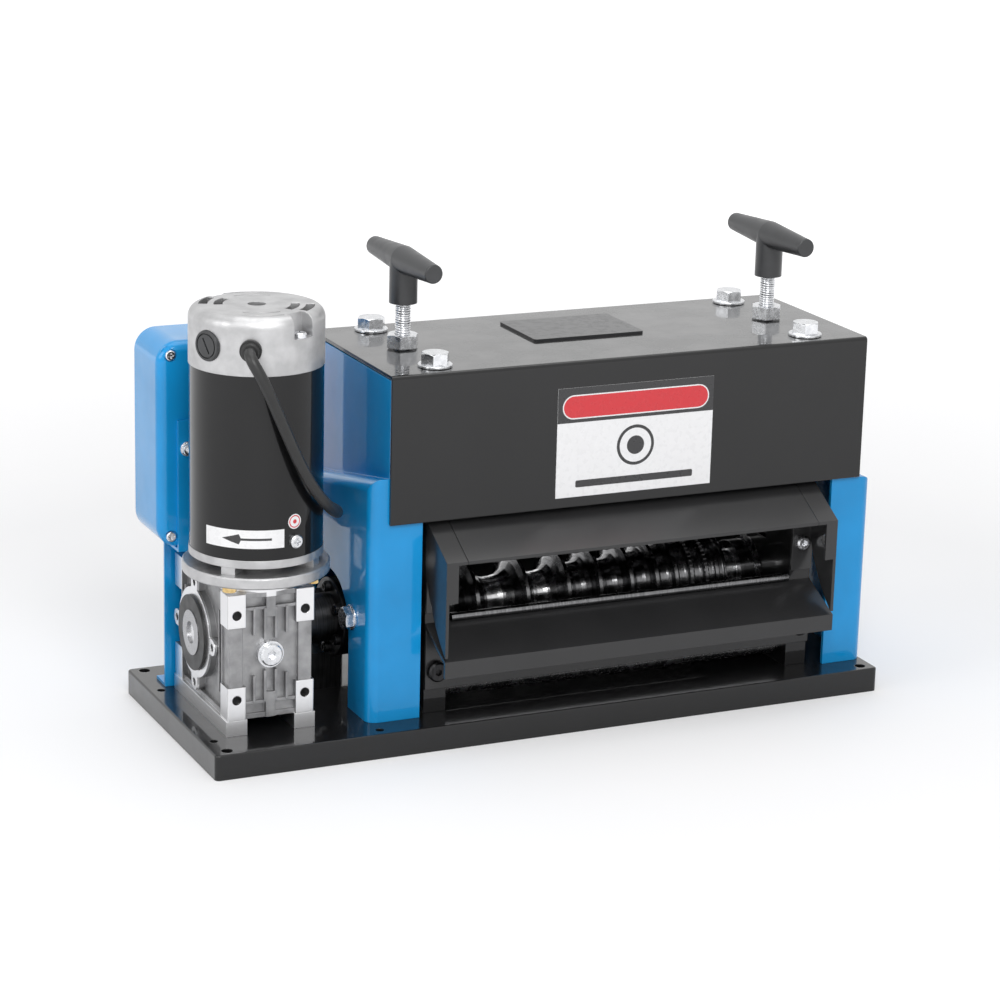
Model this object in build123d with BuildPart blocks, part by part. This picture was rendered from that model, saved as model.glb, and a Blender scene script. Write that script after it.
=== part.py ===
from build123d import *
import math
import os

# Motor-driven cable stripping machine. Lengths in millimetres, angles in degrees.
# X runs along the rollers (left to right), Y runs from the feed side to the rear, Z is up.
# The origin is the centre of the base, at the surface that the machine stands on.

os.makedirs("parts", exist_ok=True)

# --- driving dimensions -----------------------------------------------------------
base_depth = 170.0
base_height = 16.0
base_sheet = 3.0
base_corner_radius = 3.0
corner_hole_radius = 3.5
corner_hole_inset_x = 9.5
corner_hole_inset_y = 7.0
spare_hole_radius = 2.6
spare_hole_inset = 7.5         # from the nearest edge of the base
spare_hole_front = 25.0        # first hole of the left edge, from the front edge
spare_hole_rear = 46.5         # second hole of the left edge, from the rear edge
spare_hole_left = 109.0        # hole of the front edge, from the left edge

drive_height = 66.0            # lower roller, worm wheel and gearbox output share this axis
roller_gap = 2.0               # between the lands of the two rollers as shown
land_radius = 28.0
upper_height = drive_height + 2 * land_radius + roller_gap
journal_radius = 10.0
bearing_outer_radius = 23.5
bearing_width = 14.0
running = 0.05                 # radial clearance of a turning or sliding fit
clear = 0.3                    # clearance between pieces of different bodies

groove_widths = [33.4, 35.2, 29.4, 22.6, 22.6, 18.4, 14.2, 11.2, 10.8, 8.0, 6.8]
groove_end_gap = 14.9          # between the last channel and the collar
collar_width = 10.0
roller_clearance = 3.0         # between the rollers' ends and the side frames

frame_thickness = 15.0
frame_depth = 120.0
frame_top = 234.0
left_margin = 145.5            # from the base's left edge to the left side frame
right_margin = 41.0            # from the right side frame to the base's right edge
window_width = 54.0
window_top = 204.0
block_half_height = 27.0
lift_down = 0.6                # travel of the upper roller below and above the pose shown
lift_up = 2.4

hood_sheet = 2.0
hood_overhang_left = 27.5      # beyond the side frames
hood_overhang_right = 29.0
hood_depth = 136.0
hood_bottom = 143.0
hood_bolt_spacing = 102.0      # front to back
cover_wall = 2.5
cover_depth = 131.0
cover_clearance = 1.0
left_cover_step = 12.0         # the lower part of each cover reaches out past the hood
right_cover_step = 11.0

screw_radius = 5.0             # M10 screws, bolts and nuts
nut_flats = 18.0
nut_height = 8.4
bolt_flats = 16.0
bolt_head = 7.0
washer_radius = 10.7
washer_thickness = 2.0
thread_shown = 19.6            # between the lock nut and the T-handle
hub_length = 27.0              # from the handle's lower end to the centre of its bar
handle_half_length = 47.0
handle_end_radius = 5.9
handle_hub_radius = 8.8
hub_socket = 12.0

gearbox_margin = 45.5          # from the base's left edge to the gearbox's middle
gearbox_width = 56.0
gearbox_half_height = 40.0
gearbox_front = 57.0           # front face to the output axis
gearbox_rear = 40.0
foot_spacing_x = 44.0
foot_spacing_z = 54.0
hub_width = 63.0
centre_distance = 30.0         # worm axis to wheel axis
bar_height = drive_height - gearbox_half_height - base_height
worm_teeth = 30
worm_module = 1.4
worm_bore_radius = 5.5
output_bore_radius = 7.0

flange_radius = 45.0
flange_low = 113.0
flange_high = 120.0
flange_bolt_circle = 75.0
end_ring_foot = 5.0
tube_radius = 40.7
tube_wall = 3.0
tube_low = 130.0
tube_high = 243.0
head_radius = 41.0
head_top = 278.0
head_wall = 4.0
gland_height = 259.0
gland_angle = -115.0
brush_angle = -155.0
commutator_radius = 13.0

gear_teeth = 29
gear_width = 14.0
gear_play = 0.35               # thickness taken off each tooth

box_width = 96.0
box_front = 19.0
box_depth = 41.0
box_lid_depth = 7.0
box_low = 115.0
box_high = 246.0
box_wall = 3.0
box_corner_radius = 14.0
bracket_sheet = 2.0
bracket_leg_y = 45.0
bracket_top = 197.0

guard_sheet = 2.0
guard_reach = 92.0             # front of the feed guard, from the roller axis
guard_back_height = 141.0
guard_front_height = 123.0
guard_low = 62.0
guard_lip = 8.0
cheek_hole_radius = 4.0
table_bend_height = 73.5
rod_over_bend = 4.4
table_lip_height = 59.0
table_lip_drop = 10.0
table_plate_low = 32.0

lead_diameter = 7.0

# --- derived places ---------------------------------------------------------------
frame_gap = sum(groove_widths) + groove_end_gap + collar_width + 2 * roller_clearance
base_length = left_margin + 2 * frame_thickness + frame_gap + right_margin
base_left = -base_length / 2
base_front = -base_depth / 2
left_frame_x = base_left + left_margin
right_frame_x = left_frame_x + frame_thickness + frame_gap
frame_faces = (left_frame_x, right_frame_x)
frame_centres = [x + frame_thickness / 2 for x in frame_faces]
left_inner = left_frame_x + frame_thickness
right_outer = right_frame_x + frame_thickness
frame_front = frame_depth / 2
hood_top = frame_top + hood_sheet
hood_left = left_frame_x - hood_overhang_left
hood_right = right_outer + hood_overhang_right
nut_seat = hood_top + 1.0
hub_bottom = nut_seat + nut_height + thread_shown
handle_height = hub_bottom + hub_length
window_low = upper_height - block_half_height - lift_down - 1.8
block_width = window_width - 2 * clear
gearbox_x = base_left + gearbox_margin
gearbox_low = drive_height - gearbox_half_height
gearbox_high = drive_height + gearbox_half_height
worm_y = -centre_distance
wheel_pitch_radius = worm_teeth * worm_module / 2
worm_pitch_radius = centre_distance - wheel_pitch_radius
worm_lead = math.pi * worm_module
gear_module = (upper_height - drive_height) / gear_teeth
gear_x = right_outer + 3.0
box_left = base_left
box_right = box_left + box_width
box_rear = box_front + box_depth

STAND = (Align.CENTER, Align.CENTER, Align.MIN)
HANG = (Align.CENTER, Align.CENTER, Align.MAX)
MIDDLE = (Align.CENTER, Align.CENTER, Align.CENTER)
LEFTWARD = (-1, 0, 0)
RIGHTWARD = (1, 0, 0)
FORWARD = (0, -1, 0)
REARWARD = (0, 1, 0)
UPWARD = (0, 0, 1)
DOWNWARD = (0, 0, -1)
CROWN_SLOPE = math.tan(math.radians(30))


# --- helpers ----------------------------------------------------------------------
def save(name, *pieces):
    """Write one node: a single solid, or a group of separate solids."""
    node = pieces[0] if len(pieces) == 1 else Compound(children=list(pieces))
    node.label = name
    export_step(node, f"parts/{name}.step")


def facing(x, y, z, direction):
    """A plane at a point, whose normal points along the direction."""
    return Plane(origin=(x, y, z), z_dir=direction)


def around(axis_x, axis_y, angle, radius, z):
    """A plane on a vertical cylinder, facing outwards at an angle from +X."""
    away = (math.cos(math.radians(angle)), math.sin(math.radians(angle)), 0)
    return facing(axis_x + radius * away[0], axis_y + radius * away[1], z, away)


def output_plane(x, y=0.0, z=drive_height):
    """A plane across the rollers' direction, with its own X towards the rear."""
    return Plane(origin=(x, y, z), x_dir=REARWARD, z_dir=RIGHTWARD)


def block(low, high):
    """A plain box between two opposite corners."""
    size = [abs(b - a) for a, b in zip(low, high)]
    middle = tuple((a + b) / 2 for a, b in zip(low, high))
    with BuildPart(Plane(origin=middle)) as piece:
        Box(*size, align=MIDDLE)
    return piece.part


def bar(plane, radius, length, bore=0.0, bevel=0.0):
    """A cylinder standing on a plane, with an optional bore and bevelled rims."""
    with BuildPart(plane) as piece:
        Cylinder(radius, length, align=STAND)
        if bevel > 0:
            chamfer(piece.edges().filter_by(GeomType.CIRCLE), bevel)
        if bore > 0:
            Cylinder(bore, length, align=STAND, mode=Mode.SUBTRACT)
    return piece.part


def hexagon(plane, flats, height, bore=0.0, shank_radius=0.0, shank_length=0.0):
    """A hexagon nut or bolt head on a plane, with crowned corners; a shank runs the other way."""
    with BuildPart() as piece:
        with BuildSketch(plane):
            RegularPolygon(flats / 2, 6, major_radius=False)
        extrude(amount=height)
        with Locations(plane):
            crown = 0.49 * flats
            Cone(crown + height / CROWN_SLOPE, crown, height, align=STAND, mode=Mode.INTERSECT)
            if bore > 0:
                Cylinder(bore, height, align=STAND, mode=Mode.SUBTRACT)
            if shank_length > 0:
                Cylinder(shank_radius, shank_length, align=HANG)
    return piece.part


def recessed_screw(plane, head, height, shank, length, socket=0.0):
    """A round-head screw with a hexagon socket, or with a cross recess where no socket is given."""
    with BuildPart(plane) as piece:
        Cylinder(head, height, align=STAND)
        chamfer(piece.faces().sort_by(Axis(plane.origin, plane.z_dir))[-1].edges(), 0.25 * height)
        with BuildSketch(plane.offset(height)):
            if socket > 0:
                RegularPolygon(socket / 2, 6, major_radius=False)
            else:
                Rectangle(head * 1.1, head * 0.3)
                Rectangle(head * 0.3, head * 1.1)
        extrude(amount=-height * 0.5, mode=Mode.SUBTRACT)
        if length > 0:
            Cylinder(shank, length, align=HANG)
    return piece.part


def turned(outline, axis_height):
    """A solid of revolution about an axis along X: outline holds (x, radius) corners."""
    axis = Axis((0, 0, axis_height), RIGHTWARD)
    with BuildPart() as piece:
        with BuildSketch(Plane.XZ):
            with BuildLine():
                Polyline([(x, axis_height + r) for x, r in outline], close=True)
            make_face()
        revolve(axis=axis)
    return piece.part


def folded_sheet(corners, thickness, x_low, x_high):
    """A sheet folded along a line of (y, z) corners and running along X."""
    with BuildPart() as piece:
        with BuildSketch(Plane.YZ.offset(x_low)):
            with BuildLine():
                Polyline(corners)
            trace(line_width=thickness)
        extrude(amount=x_high - x_low)
    return piece.part


# --- base and side frames ---------------------------------------------------------
base_edge_radius = 1.2
spare_holes = [
    (base_left + spare_hole_inset, base_depth / 2 - spare_hole_rear),
    (base_left + spare_hole_inset, base_front + spare_hole_front),
    (base_left + spare_hole_left, base_front + spare_hole_inset),
]
corner_holes = [
    (sx * (base_length / 2 - corner_hole_inset_x), sy * (base_depth / 2 - corner_hole_inset_y))
    for sx in (-1, 1)
    for sy in (-1, 1)
]
with BuildPart() as base_plate:
    Box(base_length, base_depth, base_height, align=STAND)
    fillet(base_plate.edges().filter_by(Axis.Z), base_corner_radius)
    fillet(base_plate.edges().group_by(Axis.Z)[-1], base_edge_radius)
    Box(
        base_length - 2 * base_sheet,
        base_depth - 2 * base_sheet,
        base_height - base_sheet,
        align=STAND,
        mode=Mode.SUBTRACT,
    )
    with Locations(*[(x, y, base_height) for x, y in corner_holes]):
        Hole(corner_hole_radius, depth=base_sheet)
    with Locations(*[(x, y, base_height) for x, y in spare_holes]):
        Hole(spare_hole_radius, depth=base_sheet)
save("base_plate", base_plate.part)


hood_bolt_entry = 20.0
hood_bolt_hole = 25.0


def side_frame(face_x):
    """A thick plate with the lower bearing seat and a window for the sliding block."""
    middle = face_x + frame_thickness / 2
    with BuildPart() as frame:
        with BuildSketch(Plane.YZ.offset(face_x)):
            with Locations((0, (base_height + frame_top) / 2)):
                Rectangle(frame_depth, frame_top - base_height)
            with Locations((0, (window_low + window_top) / 2)):
                Rectangle(window_width, window_top - window_low, mode=Mode.SUBTRACT)
            with Locations((0, drive_height)):
                Circle(bearing_outer_radius, mode=Mode.SUBTRACT)
        extrude(amount=frame_thickness)
        with Locations((middle, 0, frame_top)):
            Hole(screw_radius + running, depth=frame_top - window_top)
        with Locations(*[(middle, sy * hood_bolt_spacing / 2, frame_top) for sy in (-1, 1)]):
            Hole(screw_radius, depth=hood_bolt_hole)
    return frame.part


save("left_side_frame", side_frame(left_frame_x))
save("right_side_frame", side_frame(right_frame_x))

tie_radius = 8.0
tie_inset = 14.0
tie_places = [
    (sy * (frame_front - tie_inset), z)
    for sy in (-1, 1)
    for z in (base_height + tie_inset, frame_top - tie_inset - tie_radius)
]
save(
    "tie_bars",
    *[bar(facing(left_inner, y, z, RIGHTWARD), tie_radius, frame_gap) for y, z in tie_places],
)

# --- hood, plates and covers ------------------------------------------------------
hood_rise = hood_top - hood_bottom
hood_fold_radius = 2.5
with BuildPart() as hood:
    with BuildSketch(Plane.YZ.offset(hood_left)):
        with Locations((0, hood_bottom + hood_rise / 2)):
            shell = Rectangle(hood_depth, hood_rise)
        fillet(shell.vertices().group_by(Axis.Y)[-1], hood_fold_radius)
        with Locations((0, hood_bottom + (hood_rise - hood_sheet) / 2)):
            Rectangle(hood_depth - 2 * hood_sheet, hood_rise - hood_sheet, mode=Mode.SUBTRACT)
    extrude(amount=hood_right - hood_left)
    with Locations(*[(x, 0, hood_top) for x in frame_centres]):
        Hole(screw_radius + 0.8, depth=hood_sheet)
    with Locations(*[(x, s * hood_bolt_spacing / 2, hood_top) for x in frame_centres for s in (-1, 1)]):
        Hole(screw_radius + 0.1, depth=hood_sheet)
save("hood", hood.part)

hood_bolts = []
for x in frame_centres:
    for side in (-1, 1):
        seat = facing(x, side * hood_bolt_spacing / 2, hood_top, UPWARD)
        hood_bolts.append(bar(seat, washer_radius, washer_thickness, bore=screw_radius + 0.3, bevel=0.4))
        hood_bolts.append(
            hexagon(
                seat.offset(washer_thickness),
                bolt_flats,
                bolt_head,
                shank_radius=screw_radius,
                shank_length=washer_thickness + hood_sheet + hood_bolt_entry,
            )
        )
save("hood_bolts", *hood_bolts)

name_plate_left = hood_left + 120.5
name_plate_y = 15.0
name_plate_size = (77.0, 54.0, 1.5)
name_plate_corner = 2.0
with BuildPart(Plane.XY.offset(hood_top)) as name_plate:
    with Locations((name_plate_left + name_plate_size[0] / 2, name_plate_y)):
        Box(*name_plate_size, align=STAND)
    fillet(name_plate.edges().filter_by(Axis.Z), name_plate_corner)
save("name_plate", name_plate.part)

sign_left = hood_left + 110.5
sign_size = (108.5, 70.0)
sign_low = hood_bottom + 6.5
sign_thickness = 0.4
save(
    "sign_plate",
    block(
        (sign_left, -hood_depth / 2 - sign_thickness, sign_low),
        (sign_left + sign_size[0], -hood_depth / 2, sign_low + sign_size[1]),
    ),
)


def cover_body(inner_x, upper_x, lower_x, shelf, inset, corner):
    """A filled end cover: a tall part, and a wider one below a shelf (front and rear height)."""
    outward = 1 if lower_x > inner_x else -1
    half = cover_depth / 2 - inset
    top = frame_top - cover_clearance - inset
    low = base_height if inset == 0 else base_height - 1
    start = inner_x if inset == 0 else inner_x - outward
    with BuildPart() as body:
        with BuildSketch(Plane.YZ.offset(start)):
            with BuildLine():
                Polyline(
                    (-half, low),
                    (half, low),
                    (half, shelf[1] - inset),
                    (-half, shelf[0] - inset),
                    close=True,
                )
            make_face()
        extrude(amount=lower_x - outward * inset - start)
        with BuildSketch(Plane.YZ.offset(start)):
            with Locations((0, (low + top) / 2)):
                Rectangle(2 * half, top - low)
        extrude(amount=upper_x - outward * inset - start)
        outer_face = body.faces().filter_by(Axis.X).sort_by(Axis.X)[-1 if outward > 0 else 0]
        fillet(outer_face.edges().filter_by(lambda e: e.center().Z > low + 1), corner)
    return body.part


def end_cover(inner_x, upper_x, lower_x, shelf, opening_radius, bolt_place):
    """The cover's shell, open towards the frame and below, with an arch for the drive."""
    outward = 1 if lower_x > inner_x else -1
    bolt_face, bolt_z = bolt_place
    skin = cover_body(inner_x, upper_x, lower_x, shelf, 0, cover_corner_radius)
    hollow = cover_body(inner_x, upper_x, lower_x, shelf, cover_wall, cover_corner_radius - cover_wall)
    with BuildPart() as cover:
        add(skin)
        add(hollow, mode=Mode.SUBTRACT)
        if opening_radius > 0:
            with BuildSketch(Plane.YZ.offset(lower_x - 1)):
                with Locations((0, drive_height)):
                    Circle(opening_radius)
                with Locations((0, (drive_height + base_height) / 2)):
                    Rectangle(2 * opening_radius, drive_height - base_height)
            extrude(amount=cover_wall + 2, mode=Mode.SUBTRACT)
        with Locations(facing(bolt_face + outward, cover_bolt_y, bolt_z, (outward, 0, 0))):
            Hole(cover_bolt_radius + 0.2, depth=cover_wall + 2)
    return cover.part


cover_corner_radius = 7.0
cover_bolt_y = -38.0
cover_bolt_radius = 4.0
cover_bolt_flats = 13.0
cover_bolt_head = 5.3
cover_washer_radius = 8.0
cover_washer_thickness = 1.6
left_bolt_z = 77.0
right_bolt_z = 190.0
left_cover_inner = left_frame_x - 5.0
left_cover_outer = hood_left - left_cover_step
right_cover_inner = right_outer + 10.0
right_cover_outer = hood_right + right_cover_step
cover_upper_left = hood_left
cover_upper_right = hood_right - 2.5
left_shelf_front = 172.0
left_shelf_rear = 146.0
right_shelf = 142.0
arch_radius = 32.0
save(
    "left_cover",
    end_cover(
        left_cover_inner,
        cover_upper_left,
        left_cover_outer,
        (left_shelf_front, left_shelf_rear),
        arch_radius,
        (left_cover_outer, left_bolt_z),
    ),
)
save(
    "right_cover",
    end_cover(
        right_cover_inner,
        cover_upper_right,
        right_cover_outer,
        (right_shelf, right_shelf),
        0,
        (cover_upper_right, right_bolt_z),
    ),
)

cover_bolts = []
for face_x, z, outward, frame_x in (
    (left_cover_outer, left_bolt_z, LEFTWARD, left_frame_x),
    (cover_upper_right, right_bolt_z, RIGHTWARD, right_outer),
):
    seat = facing(face_x, cover_bolt_y, z, outward)
    cover_bolts.append(
        bar(seat, cover_washer_radius, cover_washer_thickness, bore=cover_bolt_radius + 0.3, bevel=0.3)
    )
    cover_bolts.append(
        hexagon(
            seat.offset(cover_washer_thickness),
            cover_bolt_flats,
            cover_bolt_head,
            shank_radius=cover_bolt_radius,
            shank_length=cover_washer_thickness + abs(face_x - frame_x),
        )
    )
save("cover_bolts", *cover_bolts)


# --- feed and outlet guards -------------------------------------------------------
flange_width = 14.0
cheek_bay = 13.5               # depth of the round bay in the cheek, below the tab
cheek_bay_height = 82.0
cheek_foot = 110.0
lip_low = 97.0
tab_low = 82.0
tab_high = 138.0
tab_screw_height = 101.0
tab_hole_radius = 3.2
cheek_hole_height = 106.6


def guard_cheek(outer_x, inward, side):
    """A cheek with its roof flange, front lip and the tab that is screwed to the frame."""
    inner_x = outer_x + inward * guard_sheet
    back = side * frame_front
    reach = side * guard_reach
    with BuildPart() as cheek:
        with BuildSketch(Plane.YZ.offset(outer_x)):
            with BuildLine():
                edge = Polyline(
                    (back, cheek_foot),
                    (back, guard_back_height),
                    (reach, guard_front_height),
                    (reach, guard_low),
                )
                ThreePointArc(edge @ 1, (back + side * cheek_bay, cheek_bay_height), edge @ 0)
            make_face()
        extrude(amount=inward * guard_sheet)
        with BuildSketch(Plane.YZ.offset(inner_x)):
            with BuildLine():
                Polyline(
                    (back, guard_back_height - guard_sheet),
                    (back, guard_back_height),
                    (reach, guard_front_height),
                    (reach, guard_front_height - guard_sheet),
                    close=True,
                )
            make_face()
        extrude(amount=inward * (flange_width - guard_sheet))
        lip_rear = side * (guard_reach - guard_sheet)
        lip_top = guard_front_height - guard_sheet / 2
        add(block((outer_x, reach, lip_low), (outer_x + inward * guard_lip, lip_rear, lip_top)))
        tab_front = side * (frame_front + guard_sheet)
        add(block((outer_x, back, tab_low), (outer_x + inward * frame_thickness, tab_front, tab_high)))
        screw_x = outer_x + inward * (frame_thickness / 2 + 1)
        with Locations(facing(screw_x, tab_front, tab_screw_height, (0, side, 0))):
            Hole(tab_hole_radius, depth=guard_sheet)
        if outer_x == right_outer:
            with Locations(facing(outer_x, side * (guard_reach - 11), cheek_hole_height, RIGHTWARD)):
                Hole(cheek_hole_radius, depth=guard_sheet)
    return cheek.part


def guard_roof(side):
    """The sheet between the two roof flanges."""
    with BuildPart() as roof:
        with BuildSketch(Plane.YZ.offset(left_frame_x + flange_width + clear)):
            with BuildLine():
                Polyline(
                    (side * frame_front, guard_back_height - guard_sheet),
                    (side * frame_front, guard_back_height),
                    (side * guard_reach, guard_front_height),
                    (side * guard_reach, guard_front_height - guard_sheet),
                    close=True,
                )
            make_face()
        extrude(amount=right_outer - left_frame_x - 2 * flange_width - 2 * clear)
    return roof.part


def guard(side):
    return (
        guard_cheek(left_frame_x, 1, side),
        guard_cheek(right_outer, -1, side),
        guard_roof(side),
    )


def table(side):
    """The feed table: a plate on the frames, bent over the rod, down to the front lip."""
    half = guard_sheet / 2
    corners = [
        (side * (frame_front + half), table_plate_low),
        (side * (frame_front + half), table_bend_height),
        (side * (guard_reach - half), table_lip_height),
        (side * (guard_reach - half), table_lip_height - table_lip_drop),
    ]
    return folded_sheet(corners, guard_sheet, left_frame_x, right_outer)


save("feed_guard", *guard(-1))
save("feed_table", table(-1))
save("outlet_guard", *guard(1))
save("outlet_table", table(1))

rod_radius = 2.5
rod_height = table_bend_height + rod_over_bend
rod_length = frame_gap - 4
save(
    "guide_rods",
    *[
        bar(facing(left_inner + 2, side * (frame_front + 1), rod_height, RIGHTWARD), rod_radius, rod_length)
        for side in (-1, 1)
    ],
)

guard_screw_head = 4.6
table_screw_head = 6.4
table_screw_height = table_plate_low + 12.0
guard_screws = []
table_screws = []
for side in (-1, 1):
    for outer_x, inward in ((left_frame_x, 1), (right_outer, -1)):
        screw_x = outer_x + inward * (frame_thickness / 2 + 1)
        seat = facing(screw_x, side * (frame_front + guard_sheet), tab_screw_height, (0, side, 0))
        guard_screws.append(recessed_screw(seat, guard_screw_head, 4.2, 3.0, guard_sheet, socket=4.0))
        seat = facing(screw_x - inward, side * (frame_front + guard_sheet), table_screw_height, (0, side, 0))
        table_screws.append(recessed_screw(seat, table_screw_head, 4.2, 3.0, 0, socket=4.0))
save("guard_screws", *guard_screws)
save("table_screws", *table_screws)

# --- rollers, blades, bearings and gears ------------------------------------------
roller_start = left_inner + roller_clearance
groove_floor_radius = 14.0
groove_floor_width = 4.2
channel_bulge = 1.35            # depth of a narrow channel's side as a share of its width
land_width = 2.4
collar_radius = 20.0
roller_end = roller_start + sum(groove_widths)
collar_start = roller_end + groove_end_gap


def groove_profile(floor_radius):
    """Corners (x, radius) of the grooved length, with round-sided channels side by side."""
    corners = []
    x = roller_start
    for width in groove_widths:
        floor = min(groove_floor_width, width / 3)
        half = (width - land_width - floor) / 2
        depth = min(land_radius - floor_radius, half * channel_bulge)
        left = x + land_width / 2
        right = x + width - land_width / 2
        corners += [(x, land_radius), (left, land_radius)]
        steps = 4
        for i in range(1, steps + 1):
            turn = math.pi / 2 * i / steps
            corners.append((left + half * (1 - math.cos(turn)), land_radius - depth * math.sin(turn)))
        for i in range(steps, 0, -1):
            turn = math.pi / 2 * i / steps
            corners.append((right - half * (1 - math.cos(turn)), land_radius - depth * math.sin(turn)))
        corners.append((right, land_radius))
        x += width
    corners.append((x, land_radius))
    return corners


shaft_left_end = gearbox_x - hub_width / 2 + 1.0
shaft_right_end = gear_x + gear_width + 4.0
shaft_shoulder = gearbox_x + hub_width / 2 + 2.0
journal = journal_radius - running
output_journal = output_bore_radius - 0.01
lower_outline = (
    [
        (shaft_left_end, 0),
        (shaft_left_end, output_journal),
        (shaft_shoulder, output_journal),
        (shaft_shoulder, journal),
        (roller_start, journal),
    ]
    + groove_profile(groove_floor_radius)
    + [
        (roller_end, groove_floor_radius),
        (collar_start, groove_floor_radius),
        (collar_start, collar_radius),
        (collar_start + collar_width, collar_radius),
        (collar_start + collar_width, journal),
        (shaft_right_end, journal),
        (shaft_right_end, 0),
    ]
)
save("lower_roller", turned(lower_outline, drive_height))

blade_thickness = 2.0
blade_reach = 5.0
blade_edge_width = 0.4
blade_bevel = 2.0
blade_bore_radius = groove_floor_radius - 2.0
save(
    "blade_shaft",
    turned(
        [
            (left_frame_x - 2, 0),
            (left_frame_x - 2, journal),
            (roller_start, journal),
            (roller_start, blade_bore_radius),
            (collar_start, blade_bore_radius),
            (collar_start, collar_radius),
            (collar_start + collar_width, collar_radius),
            (collar_start + collar_width, journal),
            (shaft_right_end, journal),
            (shaft_right_end, 0),
        ],
        upper_height,
    ),
)

groove_centres = [
    roller_start + sum(groove_widths[:i]) + width / 2 for i, width in enumerate(groove_widths)
]
blade_places = list(zip(groove_centres, groove_widths))[:-1]


def upper_ring(index):
    """A roller ring between two blades, with half a channel cut into each side."""
    low = roller_start if index == 0 else groove_centres[index - 1] + blade_thickness / 2
    high = roller_end if index == len(blade_places) else groove_centres[index] - blade_thickness / 2
    outline = [(x, r) for x, r in groove_profile(groove_floor_radius + 2) if low < x < high]
    bottom_low = land_radius if index == 0 else outline[0][1]
    bottom_high = land_radius if index == len(blade_places) else outline[-1][1]
    corners = [(low, blade_bore_radius), (low, bottom_low)] + outline
    corners += [(high, bottom_high), (high, blade_bore_radius)]
    return turned(corners, upper_height)


save("upper_rings", *[upper_ring(i) for i in range(len(blade_places) + 1)])


def blade(x, width):
    """A round knife with a bevelled edge, as deep as its channel allows."""
    half = blade_thickness / 2
    floor = min(groove_floor_width, width / 3)
    depth = min(land_radius - groove_floor_radius, (width - land_width - floor) / 2 * channel_bulge)
    edge = land_radius + min(blade_reach, roller_gap + depth - 1.5)
    return turned(
        [
            (x - half, blade_bore_radius),
            (x - half, edge - blade_bevel),
            (x - blade_edge_width / 2, edge),
            (x + blade_edge_width / 2, edge),
            (x + half, edge - blade_bevel),
            (x + half, blade_bore_radius),
        ],
        upper_height,
    )


save("blades", *[blade(x, width) for x, width in blade_places])


def gear_face(phase):
    """Outline of a spur gear with involute flanks; phase is the angle of one tooth's centre."""
    pressure = math.radians(20)
    pitch_radius = gear_module * gear_teeth / 2
    base_radius = pitch_radius * math.cos(pressure)
    tip_radius = pitch_radius + 0.85 * gear_module
    root_radius = pitch_radius - 1.25 * gear_module

    def spread(radius):
        angle = math.acos(min(1.0, base_radius / radius))
        return math.tan(angle) - angle

    half_tooth = math.pi / (2 * gear_teeth) - gear_play / (2 * pitch_radius)
    flank_radii = [base_radius, (base_radius + pitch_radius) / 2, pitch_radius, tip_radius]
    points = []
    for tooth in range(gear_teeth):
        middle = math.radians(phase) + 2 * math.pi * tooth / gear_teeth
        reach = [half_tooth + spread(pitch_radius) - spread(radius) for radius in flank_radii]
        left = [(radius, middle - angle) for radius, angle in zip(flank_radii, reach)]
        right = [(radius, middle + angle) for radius, angle in zip(flank_radii, reach)]
        root = [(root_radius, middle - reach[0])], [(root_radius, middle + reach[0])]
        points += root[0] + left + right[::-1] + root[1]
    return [(radius * math.cos(angle), radius * math.sin(angle)) for radius, angle in points]


def spur_gear(axis_height, phase):
    with BuildPart() as gear:
        with BuildSketch(Plane(origin=(gear_x, 0, axis_height), x_dir=REARWARD, z_dir=RIGHTWARD)):
            with BuildLine():
                Polyline(gear_face(phase), close=True)
            make_face()
            Circle(journal_radius, mode=Mode.SUBTRACT)
        extrude(amount=gear_width)
    return gear.part


save("lower_gear", spur_gear(drive_height, 90))
save("upper_gear", spur_gear(upper_height, -90 + 180 / gear_teeth))


def bearing(face_x, axis_height):
    inset = (frame_thickness - bearing_width) / 2
    seat = facing(face_x + inset, 0, axis_height, RIGHTWARD)
    return bar(seat, bearing_outer_radius, bearing_width, bore=journal_radius)


save("lower_bearings", *[bearing(x, drive_height) for x in frame_faces])
save("upper_bearings", *[bearing(x, upper_height) for x in frame_faces])

block_crown = 12.0             # solid part of the block above its bearing
slot_neck = 8.6
slot_head = 12.6
slot_head_height = 4.0
slot_roof = 5.0
block_top = upper_height + block_half_height + block_crown


def bearing_block(face_x):
    """The block that slides in the frame's window; a T-slot in its top holds the screw."""
    with BuildPart() as piece:
        with BuildSketch(Plane.YZ.offset(face_x + 0.5)):
            with Locations((0, upper_height + block_crown / 2)):
                Rectangle(block_width, 2 * block_half_height + block_crown)
            with Locations((0, upper_height)):
                Circle(bearing_outer_radius, mode=Mode.SUBTRACT)
        extrude(amount=frame_thickness - 1)
        slot_z = block_top - slot_roof - slot_head_height / 2
        middle = face_x + frame_thickness / 2
        with Locations((middle, 0, slot_z)):
            Box(slot_head, block_width, slot_head_height, align=MIDDLE, mode=Mode.SUBTRACT)
        with Locations((middle, 0, slot_z + slot_head_height / 2)):
            Box(slot_neck, block_width, slot_roof, align=STAND, mode=Mode.SUBTRACT)
    return piece.part


save("left_bearing_block", bearing_block(left_frame_x))
save("right_bearing_block", bearing_block(right_frame_x))

# --- adjusting screws -------------------------------------------------------------
def adjusting_screw(x):
    """An M10 screw whose button end turns in the block's T-slot."""
    with BuildPart(Plane.XY) as piece:
        with Locations((x, 0, block_top - slot_roof - slot_head_height + clear)):
            Cylinder(slot_head / 2 - clear, slot_head_height - 2 * clear, align=STAND)
            Cylinder(slot_neck / 2 - clear, slot_head_height + slot_roof + 3, align=STAND)
        with Locations((x, 0, block_top + 2)):
            Cylinder(screw_radius, hub_bottom + hub_socket - block_top - 2, align=STAND)
    return piece.part


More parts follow.
